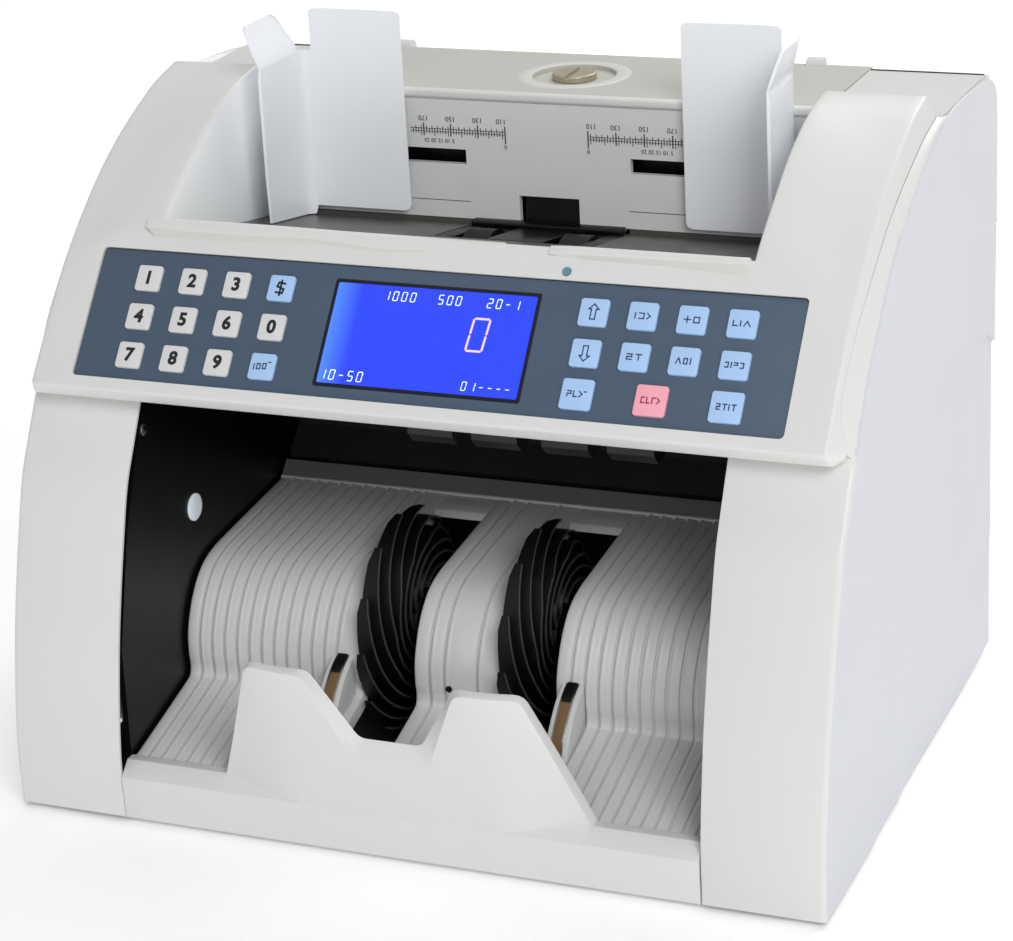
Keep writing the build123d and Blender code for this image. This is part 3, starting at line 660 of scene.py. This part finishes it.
def guard_column(x_front, z_front, x_back, z_back, on_bar):
    """Section through bar and stop from the inner foot round to the rear flange."""
    foot = -0.4 + 5.1 * ramp((abs(x_front) - 30) / 37.5) ** 1.3
    if on_bar:
        foot = 4.7
        z_front = z_back = bar_top(foot)
    base_z = bar_top(foot)
    lean_y = foot - (z_front - base_z) * LEAN
    back_y = foot + 3.2 - (z_back - base_z) * LEAN
    mid = [(foot + (lean_y - foot) * k / 4, base_z + (z_front - base_z) * k / 4) for k in range(5)]
    line = [V(x_front, 3.4, 2.0), V(x_front, 0.2, 2.0), V(x_front, -0.4, 16.8), V(x_front, -0.3, 17.4)]
    line += [V(x_front, y, max(z, base_z)) for y, z in mid]
    line += [V(x_back, max(back_y, lean_y + 0.6), max(z_back, base_z + 0.05)),
             V(x_back, max(foot + 3.0, 5.0), 22.0)]
    line += [V(x_front, 8.4, 22.0), V(x_front, 8.4, 19.5), V(x_front, 3.4, 16.0), V(x_front, 3.4, 2.0)]
    return line


columns = [guard_column(x, 0, x, 0, True) for x in (-103.5, -95, -86, -78, -72, -68.2)]
columns += [guard_column(a.x, a.y, b.x, b.y, False) for a, b in zip(front_top, back_top)]
columns += [guard_column(x, 0, x, 0, True) for x in (68.2, 72, 78, 86, 95, 103.5)]
verts, faces = net(columns)
n = len(columns[0])
faces.append(list(range(n - 1)))
faces.append([len(verts) - 1 - k for k in range(n - 1)])
piece("front_bar_stop", (verts, faces), SHELL, old=("front_guard",), bevel=0.9, seg=3,
      angle=34, sharp=35)

# ---- ribbed stacker plate -----------------------------------------------------------
PLATE_X = 103.4
PLATE_LINE = [(8.6, 20.9), (22, 24.4), (38, 28.7), (49.5, 31.9), (51.8, 33.4), (52.4, 36.5), (52.0, 41.0),
              (53.0, 49.5), (58.2, 60.0), (66.0, 67.8), (76.0, 71.6), (92, 73.4), (112, 75.2), (133, 77.0)]
line = resample(PLATE_LINE, 5)


def rib_block(name, x0, x1, grooves, old=()):
    """Part of the plate between two slots, with grooves along its whole run."""
    stops = [(x0, -5.0), (x0, -0.9), (x0 + 0.35, -0.25), (x0 + 1.1, 0.0)]
    for g in grooves:
        stops += [(g - 0.8, 0.0), (g - 0.5, -0.2), (g - 0.35, -1.0), (g + 0.3, -1.0), (g + 0.5, -0.1),
                  (g + 0.85, 0.32), (g + 1.4, 0.36), (g + 1.9, 0.1), (g + 2.3, 0.0)]
    stops += [(x1 - 1.1, 0.0), (x1 - 0.35, -0.25), (x1, -0.9), (x1, -5.0)]
    rows = []
    for i, (y, z) in enumerate(line):
        ny, nz = normal_at(line, i)
        rows.append([V(x, y + ny * d, z + nz * d) for x, d in stops])
    piece(name, net(rows), PLATE, old=old, thick=1.2, out=(0, -0.5, 1), sharp=50)


rib_block("stacker_left", -PLATE_X, -36.0, [-98.6 + 4.85 * k for k in range(12)], old=("stacker_plate",))
rib_block("stacker_middle", -16.0, 16.0, [-10.4, -4.9, 7.2])
# a black disc on the plate paints the shade of a hole
piece("plate_hole_shade", turned(V(-3.0, 51.9, 40.0), Vector((0, -1, 0)), [(0.0, 1.15), (0.5, 1.15), (0.6, 1.0)], 20),
      BLACK)
rib_block("stacker_right", 36.0, PLATE_X, [41.3 + 4.85 * k for k in range(13)])

# ---- corner wear guides beside the wheel slots --------------------------------------
ARC = resample([(33.2, 27.6), (36.2, 34.0), (41.0, 39.7), (46.5, 44.4), (52.6, 47.6)], 6)
for sign, name in ((-1, "wear_left"), (1, "wear_right")):
    lo, hi = sorted((sign * 38.4, sign * 46.4))
    poly = [tuple(p) for p in ARC] + [(53.0, 40), (52.6, 33.2)]
    piece(name + "_gusset", prism(poly, lo, hi), INNER, bevel=0.7, seg=3,
          old=("wear_strips",) if sign < 0 else ())
    for k, (mat, a, b, half_w, rise) in enumerate(((AMBER, 0, 17, 1.7, 0.75), (BLACK, 17, 24, 1.7, 0.75),
                                                   (STEEL, 0, 24, 2.3, 0.4))):
        rows = []
        for i in range(a, b + 1):
            ny, nz = (c * rise for c in normal_at(ARC, i))
            y, z = ARC[i]
            mid_x = (lo + hi) / 2
            rows.append([V(mid_x - half_w, y - ny * 0.5, z - nz * 0.5), V(mid_x - half_w, y + ny, z + nz),
                         V(mid_x + half_w, y + ny, z + nz), V(mid_x + half_w, y - ny * 0.5, z - nz * 0.5),
                         V(mid_x - half_w, y - ny * 0.5, z - nz * 0.5)])
        piece(f"{name}_strip_{k}", strip(rows), mat, bevel=0.12, seg=2)

# ---- fan wheels ---------------------------------------------------------------------
WHEEL_X, WHEEL_Y, WHEEL_Z = 26, 86.5, 48.0
HUB_R, TIP_R = 12.4, 40.0
BLADES, BLADE_STEPS, SWEEP = 13, 22, 165


def fan(name, x_mid, old):
    """Hub with thin swept blades; each narrows to a slanted leaf tip on its left, and a paler strip along its
    edge paints a highlight.
    """
    axis = Vector((1, 0, 0))
    hub = turned(V(x_mid - 9.0, WHEEL_Y, WHEEL_Z), axis,
                 [(0, 9), (0, 12.4), (0.6, 13), (10.6, 13), (11.2, 12.4), (11.2, 9)])
    parts, edges = [hub], []
    for k in range(BLADES):
        rows, trim = [], []
        for i in range(BLADE_STEPS + 1):
            f = i / BLADE_STEPS
            r = HUB_R + (TIP_R - HUB_R) * f ** 0.8
            a = radians(360 / BLADES * k - SWEEP * f + 8)
            right = 1.8 - 7.6 * (max(f - 0.56, 0) / 0.44) ** 0.9
            left = -9.3 + 1.0 * ramp((f - 0.96) / 0.04)
            t = 0.6 - 0.25 * f
            ring = [(left, r - t), (left, r + t), (right, r + t), (right, r - t), (left, r - t)]
            rows.append([V(x_mid + x, WHEEL_Y + rr * cos(a), WHEEL_Z + rr * sin(a)) for x, rr in ring])
            rim = [(right - 0.2, r - t * 0.8), (right - 0.2, r + t + 0.04), (right + 0.16, r + t + 0.04),
                   (right + 0.16, r - t * 0.8), (right - 0.2, r - t * 0.8)]
            trim.append([V(x_mid + x, WHEEL_Y + rr * cos(a), WHEEL_Z + rr * sin(a)) for x, rr in rim])
        parts.append(strip(rows))
        edges.append(strip(trim))
    # the pale strips along the blade edges paint their highlights
    piece(name + "_edges", joined(*edges), EDGE_HIGHLIGHT, body="stacker")
    piece(name, joined(*parts), RUBBER, body="stacker", old=(old,), bevel=0.12, seg=1)


fan("fan_left", -WHEEL_X, "fan_wheel_left")
fan("fan_right", WHEEL_X, "fan_wheel_right")
for side_name, x in (("left", -WHEEL_X), ("right", WHEEL_X)):
    piece("slot_end_" + side_name,
          prism([(119.6, 73.4), (121.4, 75.7), (126, 76.3), (133, 76.9), (133, 73.9), (121, 73.0)], x - 10.1,
                x + 10.1), PLATE, bevel=0.5, seg=3)
piece("plate_edge", prism([(132.6, 76.6), (132.9, 77.7), (134.0, 77.9), (134.4, 76.6), (134.4, 75.0),
                           (132.6, 75.0)], -PLATE_X, PLATE_X), PLATE, bevel=0.3)

# ---- note guides --------------------------------------------------------------------
def corner_cut(dx, r):
    """How far a rounded corner drops at a distance from the edge."""
    return r - (r * r - (r - dx) ** 2) ** 0.5 if 0 <= dx < r else 0.0


GUIDE_IN, GUIDE_OUT = 52.0, 92.0        # inner edge and side wall, across
GUIDE_BACK, GUIDE_FRONT = 152.0, 120.6  # back wall and front edge, in depth
EAR_Z, EAR_REACH, EAR_RISE = 234.6, 5.4, 14.9


def guide(name, sign, node):
    """Folded note guide: back wall, rounded fold, side wall and flared ear."""
    plan = fillet([(GUIDE_IN, GUIDE_BACK), (GUIDE_OUT, GUIDE_BACK), (GUIDE_OUT, GUIDE_FRONT)], [4.0], 8)
    lead = [GUIDE_IN, 52.2, 52.6, 53.2, 54.6, 70.0, 82.0, 85.9, 86.9, 87.6]
    plan = [Vector((x, GUIDE_BACK)) for x in lead] + plan[1:-1]
    plan += [Vector((GUIDE_OUT, y)) for y in (141, 131, 123, GUIDE_FRONT)]
    rows = []
    for level in (0, 0.03, 0.3, 0.7, 0.94, 1):
        row = []
        for p in plan:
            bottom = 177.3 if p.y > 151.9 else max(177.6 - (p.x - 86) * 0.9, 187.9 - (p.y - 68.5) * 0.1672)
            bottom += corner_cut(p.x - GUIDE_IN, 2.6)
            z = bottom + (EAR_Z - bottom) * level
            row.append(V(sign * p.x, p.y, z))
        rows.append(row)
    fold = [i for i, p in enumerate(plan) if 150.8 > p.y]
    first_side, last_back = fold[0], len(lead) - 1
    for z in (238, 244, 246.2, 249.6):
        row = []
        for i, p in enumerate(plan):
            if i <= last_back:
                cut = max(corner_cut(p.x - GUIDE_IN, 1.6), corner_cut(87.7 - p.x, 1.8)) if z > 249 else 0
                row.append(V(sign * p.x, p.y, z - cut))
            else:
                row.append(None)
        rows.append(row)
    ear = []
    for f in (0, 0.06, 0.14, 0.35, 0.7, 0.92, 1.0):
        row = []
        clip = 2.2 if f == 1.0 else 0
        for p in plan[first_side:]:
            rear_y = 150.0 - 7.0 * f - clip
            front_y = GUIDE_FRONT + clip
            y = front_y + (p.y - GUIDE_FRONT) * (rear_y - front_y) / (plan[first_side].y - GUIDE_FRONT)
            row.append(V(sign * (p.x + EAR_REACH * f ** 1.2), y, EAR_Z + EAR_RISE * f))
        ear.append(row)
    sheet = joined(net(rows), net(ear))
    # the guide's brightened white paints light on it
    piece(name, sheet, GUIDE_LIT, body=node, old=(node,), thick=1.6,
          out=(-sign * 0.6, -1, 0), sharp=40)
    arm = slab(*sorted((sign * 66, sign * 74)), 153.6, 163.0, 195.4, 199.4)
    if sign > 0:
        web, rack = slab(66, 74, 160.2, 163.0, 188.6, 199.4), slab(-3, 74, 160.2, 163.0, 188.6, 191.6)
    else:
        web, rack = slab(-74, -66, 160.2, 163.0, 195.4, 207.4), slab(-74, 3, 160.2, 163.0, 204.4, 207.4)
    for label, part in (("arm", arm), ("web", web), ("rack", rack)):
        piece(f"{name}_{label}", part, BLACK, body=node, bevel=0.4, seg=2)


guide("note_guide_left", -1, "guide_left")
guide("note_guide_right", 1, "guide_right")

# ---- display and legends ------------------------------------------------------------
LCD_V0, LCD_V1 = -23.6 - 18.9, -23.6 + 18.9
piece("lcd_pane", panel_plate(round_rect(-35.5, 35.5, LCD_V0 + 1.2, LCD_V1 - 1.2, 0.6), -1.5, -0.75), LCD,
      old=("lcd_window",), bevel=0.1, seg=2)
outer = round_rect(-36.3, 36.3, LCD_V0 + 0.1, LCD_V1 - 0.1, 0.9)
inner = round_rect(-35.1, 35.1, LCD_V0 + 1.3, LCD_V1 - 1.3, 0.6)
n = len(outer)
verts = [P(u, v, w) for loop in (outer, inner) for w in (-1.55, -0.7) for u, v in loop]
faces = []
for k in range(n):
    m = (k + 1) % n
    faces += [[n + k, n + m, 3 * n + m, 3 * n + k], [k, m, n + m, n + k],
              [2 * n + m, 2 * n + k, 3 * n + k, 3 * n + m], [m, k, 2 * n + k, 2 * n + m]]
piece("lcd_border", (verts, faces), LCD_FRAME, bevel=0.08, seg=2)

SEGMENTS = {"0": "abcdef", "1": "bc", "2": "abged", "3": "abgcd", "4": "fgbc", "5": "afgcd", "6": "afgedc",
            "7": "abc", "8": "abcdefg", "9": "abcdfg", "-": "g", " ": ""}


def digits(text, u, v, height, pitch, weight=0.1):
    """Seven-segment characters as thin bars on the display."""
    w, t = height * 0.5, height * weight
    bars = {"a": (0, 2, 1, 2), "d": (0, 0, 1, 0), "g": (0, 1, 1, 1), "f": (0, 1, 0, 2), "b": (1, 1, 1, 2),
            "e": (0, 0, 0, 1), "c": (1, 0, 1, 1)}
    parts = []
    for k, ch in enumerate(text):
        for s in SEGMENTS[ch]:
            x0, y0, x1, y1 = bars[s]
            pts = []
            for x, y in ((x0, y0), (x1, y1)):
                pts.append(Vector((u + k * pitch + x * w + y * height * 0.04, v + y * height / 2)))
            along = (pts[1] - pts[0]).normalized()
            side = Vector((-along.y, along.x)) * t / 2
            a, b = pts[0] + along * t * 0.55, pts[1] - along * t * 0.55
            parts.append(panel_plate([a - along * t * 0.45, a - side, b - side, b + along * t * 0.45, b + side,
                                      a + side], -0.72, -0.66))
    return joined(*parts)


piece("lcd_small_digits", joined(
    digits("1000", -18.0, LCD_V1 - 6.3, 3.1, 3.1), digits("500", 1.2, LCD_V1 - 6.3, 3.1, 3.1),
    digits("20-1", 18.4, LCD_V1 - 6.3, 3.1, 3.1), digits("10-50", -34.4, LCD_V0 + 2.6, 3.3, 3.3),
    digits("01----", 15.6, LCD_V0 + 2.8, 2.9, 3.0)), LCD_INK)
piece("lcd_count", digits("0", 14.2, LCD_V1 - 21.5, 11.2, 8, 0.065), LCD_WARM)

LEFT_COLS, RIGHT_COLS, LOW_COLS = (-104.7, -88.2, -71.7, -55.2), (55.2, 71.7, 88.2, 104.7), (55.2, 79.9, 104.6)
ROWS = (-10.1, -24.0, -37.9)
CAP_TOP = 0.4


def key_cap(key, u, v, mat):
    """Membrane key: flat cap with soft corners."""
    w, h = (10.5, 10.3) if v == ROWS[2] and u > 0 else (9.6, 9.4) if u > 0 else (9.0, 9.1)
    outline = round_rect(u - w / 2, u + w / 2, v - h / 2, v + h / 2, 1.0, 4)
    piece(key + "_cap", panel_plate(outline, -3.4, CAP_TOP), mat, body=key, old=(key,), bevel=0.3,
          seg=3)


window = cutter(panel_plate(round_rect(-36.4, 36.4, LCD_V0, LCD_V1, 0.9), -4, 2))
piece("overlay_sheet", panel_plate(round_rect(-124.3, 124.3, -46.3, 0.0, 1.6), -1.35, -0.8), OVERLAY,
      old=("panel_overlay",), bevel=0.1, seg=2, cutters=(window,))
for v, chars in zip(ROWS, ("123", "4560", "789")):
    for u, char in zip(LEFT_COLS, chars):
        key = "key_" + char
        key_cap(key, u, v, KEY_GREY)
        lettering(key + "_legend", char, 6.3, P(u, v - 0.1, CAP_TOP + 0.01), ACROSS, UP_SLOPE, INK, body=key,
                  heavy=0.26)


def stroke(points, u, v, width):
    """Polyline drawn as a flat ribbon on a key cap."""
    parts = []
    pts = [Vector(p) for p in points]
    for a, b in zip(pts, pts[1:]):
        along = (b - a).normalized() * width / 2
        side = Vector((-along.y, along.x))
        quad = [a - along - side, b + along - side, b + along + side, a - along + side]
        parts.append(panel_plate([(u + q.x, v + q.y) for q in quad], CAP_TOP - 0.04, CAP_TOP + 0.05))
    return joined(*parts)


ARROW = [(-0.8, -2.4), (0.8, -2.4), (0.8, 1.0), (1.7, 1.0), (0, 2.8), (-1.7, 1.0), (-0.8, 1.0), (-0.8, -2.4)]
ICONS = {
    "key_up": [ARROW], "key_down": [[(x, -y) for x, y in ARROW]],
    "key_mode": [[(1.3, 1.6), (-0.9, 1.9), (-1.3, 0.5), (1.2, -0.4), (0.9, -1.8), (-1.4, -1.6)],
                 [(0, 2.6), (0, -2.5)]],
    "key_batch": [[(-2.8, -1.2), (-2.8, 0.6)],
                  [(-1.7, -1.0), (-1.7, 0.8), (-0.6, 0.8), (-0.6, -1.0), (-1.7, -1.0)],
                  [(0.4, -0.8), (0.4, 1.0), (1.5, 1.0), (1.5, -0.8), (0.4, -0.8)], [(2.2, 1.6), (3.0, 1.6)]],
    "key_count": [[(-2.4, -0.9), (-2.4, 0.9)], [(-1.1, -0.9), (0.5, -0.9), (0.5, 0.9), (-1.1, 0.9)],
                  [(1.6, 0.9), (2.6, 0.0), (1.6, -0.9)]],
    "key_add": [[(-2.6, 0), (-0.6, 0)], [(-1.6, 1), (-1.6, -1)],
                [(0.6, 0.9), (2.4, 0.9), (2.4, -0.9), (0.6, -0.9), (0.6, 0.9)]],
    "key_detect": [[(-3, 0.8), (-3, -0.8), (-1.6, -0.8)], [(-0.6, 0.8), (-0.6, -0.8)],
                   [(0.6, -0.8), (1.5, 0.8), (2.6, -0.8)]],
    "key_report": [[(-2.4, 0.9), (-0.8, 0.9), (-0.8, 0), (-2.4, 0), (-2.4, -0.9), (-0.8, -0.9)],
                   [(0.6, 0.9), (2.4, 0.9)], [(1.5, 0.9), (1.5, -0.9)]],
    "key_print": [[(-2.6, -0.9), (-1.8, 0.9), (-1.0, -0.9)],
                  [(0, 0.9), (0, -0.9), (1.1, -0.9), (1.1, 0.9), (0, 0.9)], [(2.2, 0.9), (2.2, -0.9)]],
    "key_set": [[(-3, 0.8), (-2, 0.8), (-2, -0.8), (-3, -0.8)], [(-1, 0.8), (-1, -0.8)],
                [(0, 0.8), (1, 0.8), (1, 0), (0, 0)], [(2, 0.8), (3, 0.8), (3, -0.8), (2, -0.8)]],
    "key_clear": [[(-3, 0.9), (-1.8, 0.9), (-1.8, 0), (-3, 0), (-3, -0.9)],
                  [(-0.9, 0.9), (-0.9, -0.9), (0.2, -0.9)], [(1.0, 0.9), (2.0, 0), (1.0, -0.9)],
                  [(2.6, 0.9), (3.2, 0.9)]],
    "key_start": [[(-2, 0.9), (-3, 0.9), (-3, -0.9), (-2, -0.9)], [(-1.2, 0.9), (-1.2, -0.9), (-0.3, -0.9)],
                  [(0.6, -0.9), (0.6, 0.9), (1.6, 0.9)], [(2.2, 0.9), (3, 0), (2.2, -0.9)]],
    "key_menu": [[(-3, 0.9), (-2, 0.9), (-2, 0), (-3, 0), (-3, -0.9), (-2, -0.9)], [(-1, 0.9), (0.2, 0.9)],
                 [(-0.4, 0.9), (-0.4, -0.9)], [(1, 0.9), (1, -0.9)], [(2, 0.9), (3.2, 0.9)],
                 [(2.6, 0.9), (2.6, -0.9)]],
}
CAPS = {"key_mode": (LEFT_COLS[3], ROWS[0]), "key_batch": (LEFT_COLS[3], ROWS[2])}
for names, cols, row in ((("key_up", "key_count", "key_add", "key_detect"), RIGHT_COLS, 0),
                         (("key_down", "key_report", "key_print", "key_set"), RIGHT_COLS, 1),
                         (("key_clear", "key_start", "key_menu"), LOW_COLS, 2)):
    for name, col in zip(names, cols):
        CAPS[name] = (col, ROWS[row])
for key, lines in ICONS.items():
    u, v = CAPS[key]
    key_cap(key, u, v, KEY_PINK if key == "key_start" else KEY_BLUE)
    width = 0.7 if key == "key_mode" else 0.42
    ink = INK if key == "key_mode" else INK_RED if key == "key_start" else INK_BLUE
    piece(key + "_icon", joined(*[stroke(pts, u, v, width) for pts in lines]), ink, body=key)

# ---- hopper scale -------------------------------------------------------------------
BACK = 155.55


def mark(x0, x1, z0, z1):
    """Thin printed bar on the hopper back plate."""
    return slab(x0, x1, BACK - 0.04, BACK + 0.06, z0, z1)


marks = []
for sign in (-1, 1):
    for k, x in enumerate((15.6, 26.0, 36.4, 46.8)):
        marks.append(mark(sign * x - 0.22, sign * x + 0.22, 203.0 if k == 0 else 204.6, 209.2))
    for z in (206.2, 207.2):
        marks.append(mark(*sorted((sign * 15.6, sign * 52.0)), z - 0.1, z + 0.1))
    for k in range(34):
        x = 16.6 + k * 1.04
        marks.append(mark(sign * x - 0.14, sign * x + 0.14, 205.4 if k % 5 else 204.6,
                          207.4 if k % 2 else 208.2))
piece("scale_marks", joined(*marks), INK_SCALE)
FLIPPED = (Vector((-1, 0, 0)), Vector((0, 0, -1)))
for sign in (-1, 1):
    side_name = "left" if sign < 0 else "right"
    for text, x, z, size in (("170", 46.8, 211.0, 2.6), ("150", 36.4, 211.0, 2.6), ("130", 26.0, 211.0, 2.6),
                             ("110", 17.0, 211.0, 2.6), ("5 10 15 20 25", 41.0, 203.0, 2.1),
                             ("0", 15.6, 201.9, 2.2)):
        spot = V(sign * x, BACK - 0.03, z)
        lettering(f"scale_{side_name}_{text.replace(' ', '_')}_{int(z)}", text, size, spot, *FLIPPED, INK_SCALE,
                  deep=0.04)

# ---- small details ------------------------------------------------------------------
for x, sign in ((-104.4, 1), (104.4, -1)):
    side_name = "left" if sign > 0 else "right"
    axis = Vector((sign, 0, 0))
    lens = turned(V(x, 68, 90), axis,
                  [(-0.1, 4.9), (0.5, 4.9), (0.9, 4.3), (1.1, 3.0), (1.2, 1.2), (1.22, 0.3)])
    # each lens glows with painted light
    piece("lens_" + side_name, lens, LENS_GLOW, old=("wall_sensors",) if sign > 0 else ())
    screw = turned(V(x, 38, 130), axis, [(-0.1, 2.2), (0.6, 2.2), (1.0, 1.7), (1.1, 0.4)], 20)
    piece("screw_" + side_name, screw, STEEL)
ring = turned(V(0, 185, 221.5), Vector((0, 0, 1)),
              [(-0.6, 15.2), (0.1, 15.4), (0.2, 15.8), (0.2, 19.8), (0.0, 20.4), (-0.6, 20.5)], 72)
verts, faces = ring
faces = faces[:-2] + [[k, (k + 1) % 72, 5 * 72 + (k + 1) % 72, 5 * 72 + k] for k in range(72)]
piece("dish_ring", (verts, faces), SHELL_MATT_SHADE)

for side_name, sign in (("left", -1), ("right", 1)):
    lo, hi = sorted((sign * 29, sign * 80))
    # a black plate behind each guide slot paints the shade inside it
    piece("slot_shade_backing_" + side_name, slab(lo, hi, 164.0, 165.0, 186, 203), BLACK)
    lo, hi = sorted((sign * 30, sign * 103.9))
    piece("table_apron_" + side_name,
          prism([(155.0, 174.6), (158.4, 174.5), (158.4, 171.5), (155.0, 172.0)], lo, hi), TABLE)
    lo, hi = sorted((sign * 101.6, sign * 142.2))
    piece("cheek_trim_" + side_name, slab(lo, hi, 210.2, 211.4, 218.5, 221.8), BLACK, bevel=0.3)
    lo, hi = sorted((sign * 30, sign * 53))
    piece("plate_line_" + side_name, slab(lo, hi, BACK - 0.03, BACK + 0.3, 181.0, 181.25), INK_SCALE)
# the black bridge, floor, back and strips in the hopper mouth paint its shade
piece("mouth_shade_bridge", prism([(151.2, 175.0), (153.0, 175.6), (157.4, 175.2), (157.4, 173.8), (151.2, 173.2)],
                            -28.5, 28.5), BLACK, bevel=0.3)
piece("mouth_shade_floor", slab(-30, 30, 112, 178, 146.4, 147.4), BLACK)
piece("mouth_shade_back", slab(-30, 30, 179.0, 180.0, 150, 196), BLACK)


def mouth_shade_strip(x0, x1, drop):
    """Black strip in the mouth, level with the sloping floor, that paints the mouth's shade."""
    return prism([(120.3, 179.0 - drop), (152.9, 173.6 - drop), (152.9, 171.4), (120.3, 176.6)], x0, x1)


piece("mouth_shade_centre", joined(mouth_shade_strip(-10.2, 10.2, 0.0), mouth_shade_strip(-29.8, -23.6, 0.3),
                             mouth_shade_strip(23.6, 29.8, 0.3)), BLACK, bevel=0.4)
front_lip = prism([(155.2, 218.2), (154.6, 219.2), (154.6, 221.0), (155.4, 221.7), (157.4, 221.7),
                   (157.4, 218.2)], -101.2, 101.2)
piece("cover_front_lip", front_lip, SHELL, bevel=0.4)

# ---- finishes for the CAD nodes that stay ------------------------------------------
# top_cover takes a darkened grey that paints shade on it
FINISH = {"display_board": BOARD, "status_led": LAMP, "top_cover": COVER_SHADE, "gap_knob": BRASS, "rear_door": SHELL, "hopper_back_plate": INNER, "feed_table": TABLE, "guide_pinion": DARK, "pickup_shaft": RUBBER, "feed_shaft": RUBBER, "retard_block": BLACK, "ledge_strip": LEDGE, "exit_chute": CHUTE, "pocket_wall_left": BLACK, "pocket_wall_right": BLACK, "stacker_shaft": STEEL, "base_tray": TRAY, "feet": RUBBER, "main_motor": MOTOR, "stacker_motor": MOTOR, "main_board": BOARD, "power_supply": TRAY, "inlet_module": BLACK, "power_switch": BLACK}
for name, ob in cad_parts.items():
    mat = FINISH.get(name)
    if mat and ob is not None:
        if not ob.material_slots:
            ob.data.materials.append(mat)
        for s in ob.material_slots:
            s.material = mat
